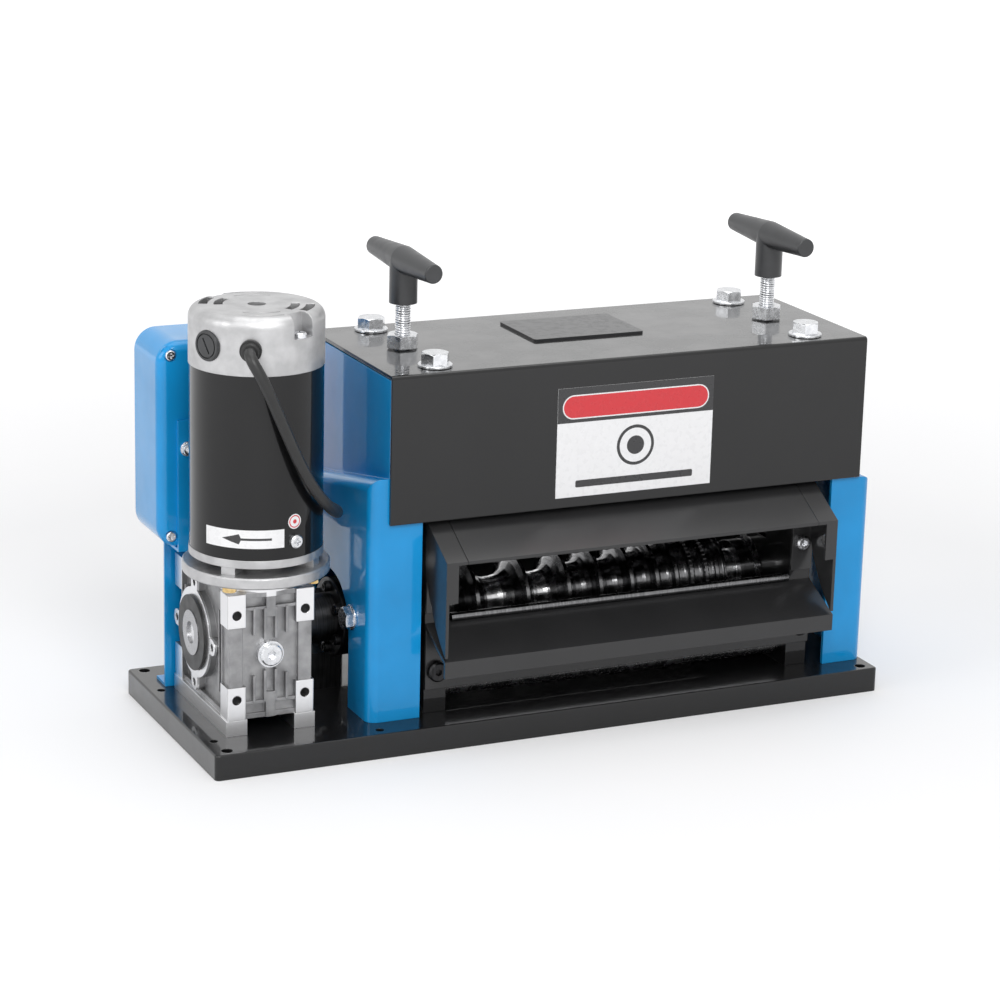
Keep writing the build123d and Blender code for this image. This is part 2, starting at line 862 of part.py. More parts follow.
def t_handle(x):
    """A moulded T-handle: a hub on the screw and a bar that tapers to both ends."""
    with BuildPart() as piece:
        with BuildSketch(facing(x, 0, handle_height, REARWARD)):
            Circle(handle_hub_radius)
        with BuildSketch(facing(x, handle_half_length, handle_height, REARWARD)):
            Circle(handle_end_radius)
        loft(ruled=True)
        mirror(about=Plane.XZ)
        fillet(piece.edges().filter_by(GeomType.CIRCLE).group_by(SortBy.RADIUS)[0], 1.0)
        with Locations((x, 0, hub_bottom)):
            Cylinder(handle_hub_radius, handle_height - hub_bottom, align=STAND)
            Cylinder(screw_radius, hub_socket, align=STAND, mode=Mode.SUBTRACT)
    return piece.part


save("left_screw", adjusting_screw(frame_centres[0]))
save("right_screw", adjusting_screw(frame_centres[1]))
save("left_handle", t_handle(frame_centres[0]))
save("right_handle", t_handle(frame_centres[1]))
save(
    "lock_nuts",
    *[
        hexagon(facing(x, 0, nut_seat, UPWARD), nut_flats, nut_height, bore=screw_radius + running)
        for x in frame_centres
    ],
)

# --- gearbox ----------------------------------------------------------------------
gearbox_left = gearbox_x - gearbox_width / 2
gearbox_right = gearbox_x + gearbox_width / 2
housing_front = -gearbox_front
panel_recess = 4.0             # the ribbed panels lie behind the faces of the feet
end_plate = 3.0
pad_width = 12.0
pad_height = 21.0
pad_depth = 13.0
pad_hole_radius = 3.0
pad_hole_depth = 11.0
rail_inset = 1.5
rail_width = 8.5
rail_step = 1.2
ledge_inset = 8.0
ledge_offset = 9.0
ledge_thickness = 2.0
rib_depth = 3.4
rib_thickness = 1.6
front_ribs = [(-10.5, 17.0), (-3.5, 20.0), (3.5, 20.0), (10.5, 17.0)]           # place and length
side_ribs = [(-45.0, 30.0), (-40.0, 26.0), (22.0, 24.0), (28.0, 30.0)]          # place and half height
tab_width = 6.0
tab_depth = 8.0
tab_length = 16.0
tab_rise = 1.5
seal_radius = 23.7
ring_radius = 28.5
ear_circle_radius = 32.5
ear_radius = 5.2
ear_hole_radius = 2.5
ring_step = 2.0
neck_radius = 27.0
wheel_chamber_radius = 24.0
wheel_chamber_half = 19.0
worm_chamber_radius = 13.0
worm_chamber_floor = gearbox_low + 6.0
plug_radius = 5.0
plug_entry = 5.0
plug_flange_radius = 8.4
plug_flange_height = 3.6
plug_head_radius = 7.0
plug_head_height = 2.2
plug_socket_flats = 5.0

with BuildPart() as housing:
    add(
        block(
            (gearbox_left + panel_recess, housing_front + panel_recess, gearbox_low + end_plate),
            (gearbox_right - panel_recess, gearbox_rear - end_plate, gearbox_high - end_plate),
        )
    )
    for side in (-1, 1):
        edge = gearbox_x + side * gearbox_width / 2
        pad_edge = edge - side * pad_width
        for level in (-1, 1):
            foot = drive_height + level * gearbox_half_height
            foot_end = foot - level * pad_height
            add(block((edge, housing_front, foot), (pad_edge, housing_front + pad_depth, foot_end)))
            add(block((edge, gearbox_rear - pad_depth, foot), (pad_edge, gearbox_rear, foot_end)))
        rail = edge - side * rail_inset
        add(
            block(
                (rail, housing_front + rail_step, gearbox_low + ledge_inset),
                (rail - side * rail_width, housing_front + pad_depth - 1, gearbox_high - ledge_inset),
            )
        )
        panel = edge - side * panel_recess
        for rib_y, half_height in side_ribs:
            add(
                block(
                    (panel, rib_y, drive_height - half_height),
                    (panel + side * rib_depth, rib_y + rib_thickness, drive_height + half_height),
                )
            )
    for level in (-1, 1):
        plate = drive_height + level * gearbox_half_height
        ledge = plate - level * ledge_offset
        add(
            block(
                (gearbox_left + rail_inset, housing_front + rail_inset, plate),
                (gearbox_right - rail_inset, gearbox_rear - rail_inset, plate - level * end_plate),
            )
        )
        add(
            block(
                (gearbox_left + ledge_inset, housing_front + rail_step, ledge),
                (gearbox_right - ledge_inset, housing_front + panel_recess, ledge - level * ledge_thickness),
            )
        )
        for rib_x, rib_length in front_ribs:
            low_x = gearbox_x + rib_x - rib_thickness / 2
            rib_end = ledge - level * (1 + rib_length)
            add(
                block(
                    (low_x, housing_front + panel_recess - rib_depth, ledge - level),
                    (low_x + rib_thickness, housing_front + panel_recess, rib_end),
                )
            )
        tab_end = plate + max(level, 0) * tab_rise
        add(
            block(
                (gearbox_x - tab_width / 2, housing_front + 0.5, tab_end),
                (gearbox_x + tab_width / 2, housing_front + tab_depth, plate - level * tab_length),
            )
        )
    with BuildSketch(output_plane(gearbox_x - hub_width / 2 + ring_step)):
        Circle(ring_radius)
        with PolarLocations(ear_circle_radius, 4):
            Circle(ear_radius)
            Rectangle(2 * ear_radius, 2 * ear_radius, align=(Align.MAX, Align.CENTER))
    extrude(amount=hub_width - 2 * ring_step)
    with Locations((gearbox_x, worm_y, gearbox_high - end_plate)):
        Cylinder(neck_radius, flange_low - gearbox_high + end_plate, align=STAND)
    fillet(housing.edges().filter_by(Axis.Z).group_by(Axis.Y)[0], 0.8)
    # chambers for the wheel and the worm, the seal seats, and the worm's bores
    with Locations(output_plane(gearbox_x)):
        Cylinder(wheel_chamber_radius, 2 * wheel_chamber_half, mode=Mode.SUBTRACT)
        Cylinder(seal_radius, hub_width, mode=Mode.SUBTRACT)
    with Locations((gearbox_x, worm_y, worm_chamber_floor)):
        Cylinder(worm_chamber_radius, flange_low - worm_chamber_floor, align=STAND, mode=Mode.SUBTRACT)
    with Locations(Plane(origin=(gearbox_x, housing_front, drive_height), x_dir=RIGHTWARD, z_dir=FORWARD)):
        with GridLocations(foot_spacing_x, foot_spacing_z, 2, 2):
            Hole(pad_hole_radius, depth=pad_hole_depth)
    with Locations(facing(gearbox_x, housing_front + panel_recess, drive_height, FORWARD)):
        Hole(plug_radius, depth=plug_entry)
    for side, direction in ((-1, LEFTWARD), (1, RIGHTWARD)):
        for turn in (0, 90, 180, 270):
            y = ear_circle_radius * math.cos(math.radians(turn))
            z = drive_height + ear_circle_radius * math.sin(math.radians(turn))
            with Locations(facing(gearbox_x + side * (hub_width / 2 - ring_step), y, z, direction)):
                Hole(ear_hole_radius, depth=10)
save("gearbox_housing", housing.part)

hub_radius = 14.2
seal_width = 7.0
save(
    "shaft_seals",
    *[
        bar(
            facing(gearbox_x + side * hub_width / 2, 0, drive_height, (-side, 0, 0)),
            seal_radius,
            seal_width,
            bore=hub_radius + running,
        )
        for side in (-1, 1)
    ],
)

bar_width = 13.5
save(
    "gearbox_bars",
    *[
        block(
            (gearbox_x + sx * foot_spacing_x / 2 - bar_width / 2, -gearbox_front, base_height),
            (gearbox_x + sx * foot_spacing_x / 2 + bar_width / 2, gearbox_rear, base_height + bar_height),
        )
        for sx in (-1, 1)
    ],
)

plug_seat = facing(gearbox_x, housing_front + panel_recess, drive_height, FORWARD)
plug_height = plug_flange_height + plug_head_height
with BuildPart(plug_seat) as oil_plug:
    Cylinder(plug_flange_radius, plug_flange_height, align=STAND)
    Cylinder(plug_radius - running, plug_entry, align=HANG)
    with Locations((0, 0, plug_flange_height)):
        Cylinder(plug_head_radius, plug_head_height, align=STAND)
    chamfer(oil_plug.faces().sort_by(Axis.Y)[0].edges(), 0.8)
    with BuildSketch(plug_seat.offset(plug_height)):
        RegularPolygon(plug_socket_flats / 2, 6, major_radius=False)
    extrude(amount=-plug_height / 2, mode=Mode.SUBTRACT)
save("oil_plug", oil_plug.part)

wheel_tip_radius = wheel_pitch_radius + 0.8 * worm_module
wheel_root_radius = wheel_pitch_radius - 1.3 * worm_module
wheel_width = 16.0
tooth_share = 0.34             # tooth width at the pitch circle as a share of the pitch
pitch_arc = 2 * math.pi * wheel_pitch_radius / worm_teeth
with BuildPart(output_plane(gearbox_x - wheel_width / 2)) as worm_wheel:
    Cylinder(wheel_root_radius, wheel_width, align=STAND)
    with BuildSketch(output_plane(gearbox_x - wheel_width / 2)):
        with PolarLocations(0, worm_teeth, start_angle=180 / worm_teeth):
            with Locations((wheel_root_radius - 0.5, 0)):
                Rectangle(
                    wheel_tip_radius - wheel_root_radius + 0.5,
                    pitch_arc * tooth_share,
                    align=(Align.MIN, Align.CENTER),
                )
    extrude(amount=wheel_width)
    with Locations((0, 0, wheel_width / 2)):
        Cylinder(hub_radius, hub_width + 1, align=MIDDLE)
        Cylinder(output_bore_radius, hub_width + 2, align=MIDDLE, mode=Mode.SUBTRACT)
save("worm_wheel", worm_wheel.part)

worm_root_radius = worm_pitch_radius - 1.2 * worm_module
worm_tip_radius = worm_pitch_radius + 0.8 * worm_module
worm_turns = 6
thread_low = drive_height - worm_lead * (worm_turns / 2 + 0.25)
worm_low = gearbox_low + 8.0
worm_high = flange_high - 1.0
worm_bore_low = worm_low + 20.0
with BuildPart() as worm:
    with BuildLine():
        thread = Helix(
            pitch=worm_lead,
            height=worm_lead * worm_turns,
            radius=worm_root_radius - 0.3,
            center=(gearbox_x, worm_y, thread_low),
        )
    with BuildSketch(Plane(origin=thread @ 0, x_dir=RIGHTWARD, z_dir=thread % 0)):
        Trapezoid(
            worm_lead * 0.42,
            worm_tip_radius - worm_root_radius + 0.3,
            80,
            rotation=-90,
            align=(Align.CENTER, Align.MIN),
        )
    sweep(is_frenet=True)
    with Locations((gearbox_x, worm_y, worm_low)):
        Cylinder(worm_root_radius, worm_high - worm_low, align=STAND)
    with Locations((gearbox_x, worm_y, worm_bore_low)):
        Cylinder(worm_bore_radius, worm_high - worm_bore_low, align=STAND, mode=Mode.SUBTRACT)
save("worm", worm.part)

# --- drive coupling housing between gearbox and frame --------------------------------
coupling_radius = 25.0
coupling_neck_radius = 15.5
coupling_start = gearbox_x + hub_width / 2 + 1.0
coupling_flange_x = left_cover_outer - 0.5
coupling_bolt_circle = 40.0
coupling_bolt_head = 3.5
with BuildPart() as coupling:
    with Locations(output_plane(coupling_start)):
        Cylinder(coupling_neck_radius, left_frame_x - coupling_start, align=STAND)
    with Locations(output_plane(coupling_flange_x)):
        Cylinder(coupling_radius, left_frame_x - coupling_flange_x, align=STAND)
    chamfer(coupling.edges().filter_by(GeomType.CIRCLE).group_by(SortBy.RADIUS)[-1], 0.8)
    with Locations(output_plane(coupling_start)):
        Cylinder(journal_radius + 2, left_frame_x - coupling_start, align=STAND, mode=Mode.SUBTRACT)
save("coupling_housing", coupling.part)

coupling_bolts = []
for turn in range(30, 390, 60):
    y = coupling_bolt_circle / 2 * math.cos(math.radians(turn))
    z = drive_height + coupling_bolt_circle / 2 * math.sin(math.radians(turn))
    seat = facing(coupling_flange_x, y, z, LEFTWARD)
    coupling_bolts.append(recessed_screw(seat, coupling_bolt_head, 4.0, 2.0, 0, socket=3.0))
save("coupling_bolts", *coupling_bolts)

support_height = 24.0
support_front = 6.0
support_outside = 26.0         # length outside the cover, and inside its arch
support_inside = 10.5
save(
    "support_block",
    block(
        (left_cover_outer - support_outside, support_front, base_height),
        (left_cover_outer + support_inside, arch_radius - clear, base_height + support_height),
    ),
)

# --- motor ------------------------------------------------------------------------
motor_base = facing(gearbox_x, worm_y, flange_low, UPWARD)
with BuildPart(motor_base) as motor_flange:
    Cylinder(flange_radius, flange_high - flange_low, align=STAND)
    chamfer(motor_flange.edges().filter_by(GeomType.CIRCLE), 0.8)
    Cylinder(worm_chamber_radius, flange_high - flange_low, align=STAND, mode=Mode.SUBTRACT)
save("motor_flange", motor_flange.part)

flange_bolt_flats = 8.0
flange_bolt_head = 4.0
flange_bolts = []
for turn in (45, 135, 225, 315):
    x = gearbox_x + flange_bolt_circle / 2 * math.cos(math.radians(turn))
    y = worm_y + flange_bolt_circle / 2 * math.sin(math.radians(turn))
    flange_bolts.append(hexagon(facing(x, y, flange_low, DOWNWARD), flange_bolt_flats, flange_bolt_head))
save("flange_bolts", *flange_bolts)

end_ring_core_radius = 22.0
end_ring_foot_circle = 34.0
end_ring_foot_size = (12.0, 9.0)
with BuildPart(facing(gearbox_x, worm_y, flange_high, UPWARD)) as end_ring:
    with Locations((0, 0, end_ring_foot)):
        Cylinder(tube_radius + 0.3, tube_low - flange_high - end_ring_foot, align=STAND)
    Cylinder(end_ring_core_radius, tube_low - flange_high, align=STAND)
    with BuildSketch(Plane.XY.offset(flange_high)):
        with Locations((gearbox_x, worm_y)):
            with PolarLocations(end_ring_foot_circle, 4, start_angle=45):
                Rectangle(*end_ring_foot_size)
    extrude(amount=end_ring_foot)
    Cylinder(worm_chamber_radius, tube_low - flange_high, align=STAND, mode=Mode.SUBTRACT)
save("motor_end_ring", end_ring.part)

with BuildPart(facing(gearbox_x, worm_y, tube_low, UPWARD)) as motor_tube:
    Cylinder(tube_radius, tube_high - tube_low, align=STAND)
    Cylinder(tube_radius - tube_wall, tube_high - tube_low, align=STAND, mode=Mode.SUBTRACT)
save("motor_tube", motor_tube.part)

head_height = head_top - tube_high
head_edge_radius = 7.0
head_boss_radius = 9.0
vents = [(23.0, 44.0), (32.0, 34.0)]              # radius of the middle line, and sweep
vent_middles = (145.0, -35.0)
vent_width = 5.5
groove_arcs = [(25.0, 52.0), (33.0, 44.0)]
groove_middles = (77.0, -103.0)
groove_width = 1.5
groove_depth = 1.2
notch_middles = (113.0, -67.0)
notch_sweep = 21.0
notch_radius = 37.5
notch_width = 10.0
notch_floor = head_top - 14.0
brush_cap_radius = 9.2
brush_cap_height = 3.0
brush_cap_sink = 1.6
brush_cap_slot = 1.3
brush_cap_turn = 30.0          # of the slot, from upright
brush_size = (6.0, 8.0)
brush_length = head_radius - brush_cap_sink - 2 * brush_cap_height - commutator_radius - clear
gland_hole_radius = 4.6


def arc_band(radius, middle, opening, width):
    """A band of constant width along an arc about the motor's axis, for the current sketch."""
    with BuildLine() as path:
        CenterArc((gearbox_x, worm_y), radius, middle - opening / 2, opening)
    trace(path.edges(), line_width=width)


with BuildPart() as motor_head:
    with Locations((gearbox_x, worm_y, tube_high)):
        Cylinder(head_radius, head_height, align=STAND)
    fillet(motor_head.faces().sort_by(Axis.Z)[-1].edges(), head_edge_radius)
    with Locations((gearbox_x, worm_y, tube_high)):
        Cylinder(head_radius - head_wall, head_height - head_wall, align=STAND, mode=Mode.SUBTRACT)
    with Locations((gearbox_x, worm_y, head_top - head_wall)):
        Cylinder(head_boss_radius, 2 * head_wall, align=HANG)
    with BuildSketch(Plane.XY.offset(notch_floor - head_wall)):
        for middle in notch_middles:
            arc_band(notch_radius - head_wall, middle, notch_sweep + 10, notch_width)
    extrude(amount=head_top - notch_floor)
    with Locations((gearbox_x, worm_y, tube_high)):
        Cylinder(worm_bore_radius + running, head_height, align=STAND, mode=Mode.SUBTRACT)
    with BuildSketch(Plane.XY.offset(notch_floor)):
        for middle in notch_middles:
            arc_band(notch_radius, middle, notch_sweep, notch_width)
    extrude(amount=head_top - notch_floor, mode=Mode.SUBTRACT)
    with BuildSketch(Plane.XY.offset(head_top)):
        for middle in vent_middles:
            for radius, opening in vents:
                arc_band(radius, middle, opening, vent_width)
    extrude(amount=-head_wall - 1, mode=Mode.SUBTRACT)
    with BuildSketch(Plane.XY.offset(head_top)):
        for middle in groove_middles:
            for radius, opening in groove_arcs:
                arc_band(radius, middle, opening, groove_width)
    extrude(amount=-groove_depth, mode=Mode.SUBTRACT)
    for angle in (brush_angle, brush_angle + 180):
        with Locations(around(gearbox_x, worm_y, angle, head_radius, gland_height)):
            Hole(brush_cap_radius + 0.1, depth=head_wall + 2)
    with Locations(around(gearbox_x, worm_y, gland_angle, head_radius, gland_height)):
        Hole(gland_hole_radius, depth=head_wall + 2)
save("motor_head", motor_head.part)

brush_caps = []
brushes = []
for angle in (brush_angle, brush_angle + 180):
    seat = around(gearbox_x, worm_y, angle, head_radius - brush_cap_sink, gland_height)
    upright = Plane(origin=seat.origin, x_dir=UPWARD, z_dir=seat.z_dir)
    with BuildPart(upright) as cap:
        Cylinder(brush_cap_radius, brush_cap_height, align=STAND)
        chamfer(cap.faces().sort_by(Axis(seat.origin, seat.z_dir))[-1].edges(), 0.5)
        with BuildSketch(upright.offset(brush_cap_height)):
            Circle(brush_cap_radius - 1.6)
            Circle(brush_cap_radius - 2.4, mode=Mode.SUBTRACT)
            Rectangle(1.1 * brush_cap_radius, brush_cap_slot, rotation=brush_cap_turn)
        extrude(amount=-1.0, mode=Mode.SUBTRACT)
        Cylinder(0.8 * brush_cap_radius, 2 * brush_cap_height, align=HANG)
    brush_caps.append(cap.part)
    with BuildPart(upright.offset(-2 * brush_cap_height)) as brush:
        Box(*brush_size, brush_length, align=HANG)
    brushes.append(brush.part)
save("brush_caps", *brush_caps)
save("carbon_brushes", *brushes)

magnet_low = tube_low + 20.0
magnet_high = tube_high - 18.0
magnet_thickness = 6.0
magnet_radius = tube_radius - tube_wall - magnet_thickness / 2
magnet_sweep = 120.0
magnets = []
for middle in (0, 180):
    with BuildPart() as magnet:
        with BuildSketch(Plane.XY.offset(magnet_low)):
            arc_band(magnet_radius, middle, magnet_sweep, magnet_thickness)
        extrude(amount=magnet_high - magnet_low)
    magnets.append(magnet.part)
save("motor_magnets", *magnets)

core_low = magnet_low + 5.0
core_high = magnet_high - 7.0
core_length = core_high - core_low
core_radius = magnet_radius - magnet_thickness / 2 - 3.2
core_slots = 12
core_slot_radius = 2.2
commutator_low = core_high + 12.0
commutator_top = gland_height + 4.0
commutator_core_radius = 10.0
shaft_low = worm_bore_low + 1.0
shaft_high = head_top - 6.0
with BuildPart(facing(gearbox_x, worm_y, core_low, UPWARD)) as armature:
    Cylinder(core_radius, core_length, align=STAND)
    with PolarLocations(core_radius, core_slots):
        Cylinder(core_slot_radius, core_length, align=STAND, mode=Mode.SUBTRACT)
    with Locations((0, 0, core_length)):
        Cylinder(commutator_core_radius, commutator_top - core_high, align=STAND)
    with Locations((0, 0, shaft_low - core_low)):
        Cylinder(worm_bore_radius - 0.01, shaft_high - shaft_low, align=STAND)
commutator = bar(
    facing(gearbox_x, worm_y, commutator_low, UPWARD),
    commutator_radius,
    commutator_top - commutator_low,
    bore=commutator_core_radius,
)
save("armature", armature.part, commutator)

# --- control box ------------------------------------------------------------------
def rounded_box(low_y, high_y, inset):
    """A box with round corners seen from the front, reaching from low_y to high_y."""
    with BuildPart() as body:
        with BuildSketch(Plane(origin=(0, low_y, 0), x_dir=RIGHTWARD, z_dir=FORWARD)):
            with Locations(((box_left + box_right) / 2, (box_low + box_high) / 2)):
                RectangleRounded(
                    box_width - 2 * inset, box_high - box_low - 2 * inset, box_corner_radius - inset
                )
        extrude(amount=low_y - high_y)
    return body.part


box_edge_radius = 6.0
lid_edge_radius = 2.5
lead_gland_x = box_right - 9.0
lead_gland_z = box_low + 35.0
button_spacing = 28.8
button_height = box_high - 50.0
button_places = [
    ((box_left + box_right) / 2 + side * button_spacing / 2, button_height) for side in (-1, 1)
]
button_radius = 8.0
button_length = 14.0
lid_face = box_rear + box_lid_depth
button_stand = 6.0
collar_height = 3.0
collar_wall = 4.0
box_screw_inset = 8.0
box_screw_head = 3.2
box_screw_sink = 1.2
box_post_radius = 5.5
box_screws = [
    (x, z)
    for x in (box_left + box_screw_inset, box_right - box_screw_inset)
    for z in (box_low + box_screw_inset, box_high - box_screw_inset)
]
with BuildPart() as control_box:
    add(rounded_box(box_front, box_rear, 0))
    fillet(control_box.faces().sort_by(Axis.Y)[0].edges(), box_edge_radius)
    add(rounded_box(box_front + box_wall, box_rear + 1, box_wall), mode=Mode.SUBTRACT)
    with Locations(*[facing(x, box_rear, z, FORWARD) for x, z in box_screws]):
        Cylinder(box_post_radius, box_depth - box_wall, align=STAND)
    with Locations(*[facing(x, box_front, z, FORWARD) for x, z in box_screws]):
        Cylinder(box_screw_head + 0.7, box_screw_sink, align=HANG, mode=Mode.SUBTRACT)
    with Locations(facing(lead_gland_x, box_front, lead_gland_z, FORWARD)):
        Hole(gland_hole_radius, depth=box_wall + 1)
save("control_box", control_box.part)

with BuildPart() as box_lid:
    add(rounded_box(box_rear, box_rear + box_lid_depth, 0))
    fillet(box_lid.faces().sort_by(Axis.Y)[-1].edges(), lid_edge_radius)
    add(rounded_box(box_rear - 1, box_rear + box_lid_depth - box_wall, box_wall), mode=Mode.SUBTRACT)
    with Locations(*[facing(x, lid_face, z, REARWARD) for x, z in button_places]):
        Cylinder(button_radius + collar_wall, collar_height, align=STAND)
    with Locations(*[facing(x, lid_face + collar_height, z, REARWARD) for x, z in button_places]):
        Hole(button_radius + running, depth=collar_height + box_wall)
save("box_lid", box_lid.part)


def push_button(x, z):
    """A push button whose stem is guided in a collar that is fixed in the lid."""
    with BuildPart(facing(x, lid_face + button_stand, z, REARWARD)) as button:
        Cylinder(button_radius, button_length, align=HANG)
        chamfer(button.faces().sort_by(Axis.Y)[-1].edges(), 0.8)
    return button.part


save("start_button", push_button(*button_places[0]))
save("stop_button", push_button(*button_places[1]))

box_screw_height = 2.2
motor_screw_head = 4.2
motor_screw_height = 3.2
ground_screw_angle = -75.8
ground_screw_height = tube_low + 10.7
small_screws = []
for x, z in box_screws:
    seat = facing(x, box_front + box_screw_sink, z, FORWARD)
    small_screws.append(recessed_screw(seat, box_screw_head, box_screw_height, 0, 0))
motor_seats = [around(gearbox_x, worm_y, ground_screw_angle, tube_radius, ground_screw_height)]
for middle in notch_middles:
    in_notch = around(gearbox_x, worm_y, middle, notch_radius - 0.5, notch_floor)
    motor_seats.append(facing(in_notch.origin.X, in_notch.origin.Y, notch_floor, UPWARD))
for seat in motor_seats:
    small_screws.append(recessed_screw(seat, motor_screw_head, motor_screw_height, 0, 0))
save("panhead_screws", *small_screws)

bracket_inset = 22.0
bracket_foot = 16.0
bracket_left = box_left + box_screw_inset + box_screw_head + 0.8
bracket_right = box_right - bracket_inset
bracket_y = box_front - bracket_sheet / 2
bracket_corners = [
    (bracket_y, bracket_top),
    (bracket_y, box_low - bracket_sheet / 2),
    (bracket_leg_y, box_low - bracket_sheet / 2),
    (bracket_leg_y, base_height + bracket_sheet / 2),
    (bracket_leg_y + bracket_foot, base_height + bracket_sheet / 2),
]
save("box_bracket", folded_sheet(bracket_corners, bracket_sheet, bracket_left, bracket_right))

bracket_bolt_height = bracket_top - 18.0
bracket_bolt_places = (bracket_left + 6.0, bracket_right - 9.0)
bracket_washer = (4.6, 1.0)    # radius and thickness
bracket_nut = (7.0, 3.2)       # across flats, and height
bracket_stud = (2.0, 3.0)      # radius, and length beyond the nut
bracket_bolts = []
for x in bracket_bolt_places:
    washer_seat = facing(x, bracket_y - bracket_sheet / 2, bracket_bolt_height, FORWARD)
    nut_face = washer_seat.offset(bracket_washer[1])
    bracket_bolts.append(bar(washer_seat, *bracket_washer, bevel=0.2))
    bracket_bolts.append(hexagon(nut_face, *bracket_nut))
    bracket_bolts.append(bar(nut_face.offset(bracket_nut[1]), *bracket_stud, bevel=0.4))
save("bracket_bolts", *bracket_bolts)

# --- cable glands and the motor lead ----------------------------------------------
gland_seat = around(gearbox_x, worm_y, gland_angle, head_radius, gland_height)
box_gland_seat = facing(lead_gland_x, box_front, lead_gland_z, FORWARD)
gland_length = 6.0
gland_flange_radius = 6.6
gland_flange = 2.6
gland_radius = 5.4
glands = []
for seat in (gland_seat, box_gland_seat):
    with BuildPart(seat) as gland:
        Cylinder(gland_flange_radius, gland_flange, align=STAND)
        Cylinder(gland_radius, gland_length, align=STAND)
        Cylinder(gland_hole_radius - 0.1, head_wall, align=HANG)
        chamfer(gland.faces().sort_by(Axis(seat.origin, seat.z_dir))[-1].edges(), 0.6)
    glands.append(gland.part)
save("cord_glands", *glands)


def beside_motor(angle, radius, z):
    """A point beside the motor, by its angle from +X and its distance from the motor's axis."""
    turn = math.radians(angle)
    return (gearbox_x + radius * math.cos(turn), worm_y + radius * math.sin(turn), z)


lead_points = [
    beside_motor(gland_angle, head_radius + gland_length, gland_height),
    beside_motor(gland_angle, 55, gland_height),
    beside_motor(-107, 57, 246),
    beside_motor(-99.7, 54, 230),
    beside_motor(-90.3, 51, 211),
    beside_motor(-79.3, 49.5, 191),
    beside_motor(-66.8, 49, 174),
    beside_motor(-51.5, 49.5, 160.5),
    beside_motor(-32, 50, 151),
    beside_motor(-10, 50.5, 147),
    beside_motor(9, 50, 146),
    (lead_gland_x, 0, lead_gland_z),
    (lead_gland_x, box_front - gland_length, lead_gland_z),
]
lead_vectors = [Vector(*p) for p in lead_points]
lead_runs = [(b - a) for a, b in zip(lead_vectors, lead_vectors[1:])]
lead_radii = []
for run, following in zip(lead_runs, lead_runs[1:]):
    half_turn = math.radians(run.get_angle(following)) / 2
    lead_radii.append(0.45 * min(run.length, following.length) / math.tan(half_turn))
with BuildPart() as motor_lead:
    with BuildLine():
        lead_path = FilletPolyline(*lead_points, radius=lead_radii)
    with BuildSketch(Plane(origin=lead_path @ 0, z_dir=lead_path % 0)):
        Circle(lead_diameter / 2)
    sweep()
save("motor_lead", motor_lead.part)
print("lead length", round(lead_path.length, 1))
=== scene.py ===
# %% [markdown]
# A cable stripping machine stands on a folded base: a motor on a worm gearbox at the left, two rollers
# under a black hood at the right. The solids come from the CAD model, so the scene starts by loading
# them. What is left for this script is the finish of each piece, and the small forms that a turned or
# folded solid does not carry: threads, stickers, serrations, and the lead from the motor.

import math

import bmesh
import bpy
from mathutils import Matrix, Vector


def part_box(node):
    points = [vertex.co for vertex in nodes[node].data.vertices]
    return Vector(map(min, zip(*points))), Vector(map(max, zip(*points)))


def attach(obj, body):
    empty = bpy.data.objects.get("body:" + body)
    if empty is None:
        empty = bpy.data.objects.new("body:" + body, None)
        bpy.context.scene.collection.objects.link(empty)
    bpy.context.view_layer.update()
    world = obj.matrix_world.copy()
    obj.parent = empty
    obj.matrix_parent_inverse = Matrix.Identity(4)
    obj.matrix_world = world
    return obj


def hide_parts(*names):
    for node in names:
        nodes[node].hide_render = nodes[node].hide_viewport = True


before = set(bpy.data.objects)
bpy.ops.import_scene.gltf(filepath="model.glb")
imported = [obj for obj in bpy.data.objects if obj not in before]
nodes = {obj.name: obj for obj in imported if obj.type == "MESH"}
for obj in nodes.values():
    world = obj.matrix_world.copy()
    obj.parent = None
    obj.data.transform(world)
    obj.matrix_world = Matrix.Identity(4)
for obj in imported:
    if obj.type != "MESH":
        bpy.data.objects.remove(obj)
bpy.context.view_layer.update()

MM = 0.001

# %% [markdown]
# The camera stands in front and to the left, a little above the hood, as the photograph was taken. Its
# place was worked out from the known sizes of the gearbox. The lens is long, so the edges hardly meet.
# It has no shift, so the machine also stays in the frame when the camera goes round it.

# %% The camera
camera_data = bpy.data.cameras.new("camera")
camera_data.sensor_width = 36.0
camera_data.lens = 112.22
camera_data.clip_start = 0.05
camera = bpy.data.objects.new("camera", camera_data)
camera.location = (-0.81865, -1.73701, 0.68309)
camera.rotation_euler = [math.radians(angle) for angle in (73.9231, -1.40034, -24.63137)]
bpy.context.scene.collection.objects.link(camera)
bpy.context.scene.camera = camera

# %% [markdown]
# A lead comes out of the motor's head through a rubber bush, hangs down beside the tube, goes round
# behind it and into the control box. It is one smooth curve through a few given points: an angle
# round the motor, a distance from its axis, and a height. A NURBS curve of order 3 bends evenly, as a
# stiff cable does, and its bevel gives the round section.

# %% The motor lead
motor_x = -184.5 * MM
motor_y = -30.0 * MM
lead_diameter = 7.0 * MM


def beside_motor(angle, radius, z):
    """A point beside the motor: angle from +X in degrees, radius and height in millimetres."""
    turn = math.radians(angle)
    return Vector((motor_x + radius * MM * math.cos(turn), motor_y + radius * MM * math.sin(turn), z * MM))


lead_points = [
    beside_motor(-115, 47, 259),
    beside_motor(-115, 55, 259),
    beside_motor(-107, 57, 246),
    beside_motor(-99.7, 54, 230),
    beside_motor(-90.3, 51, 211),
    beside_motor(-79.3, 49.5, 191),
    beside_motor(-66.8, 49, 174),
    beside_motor(-51.5, 49.5, 160.5),
    beside_motor(-32, 50, 151),
    beside_motor(-10, 50.5, 147),
    beside_motor(9, 50, 146),
    Vector((-0.143, 0.0, 0.150)),
    Vector((-0.143, 0.013, 0.150)),
]


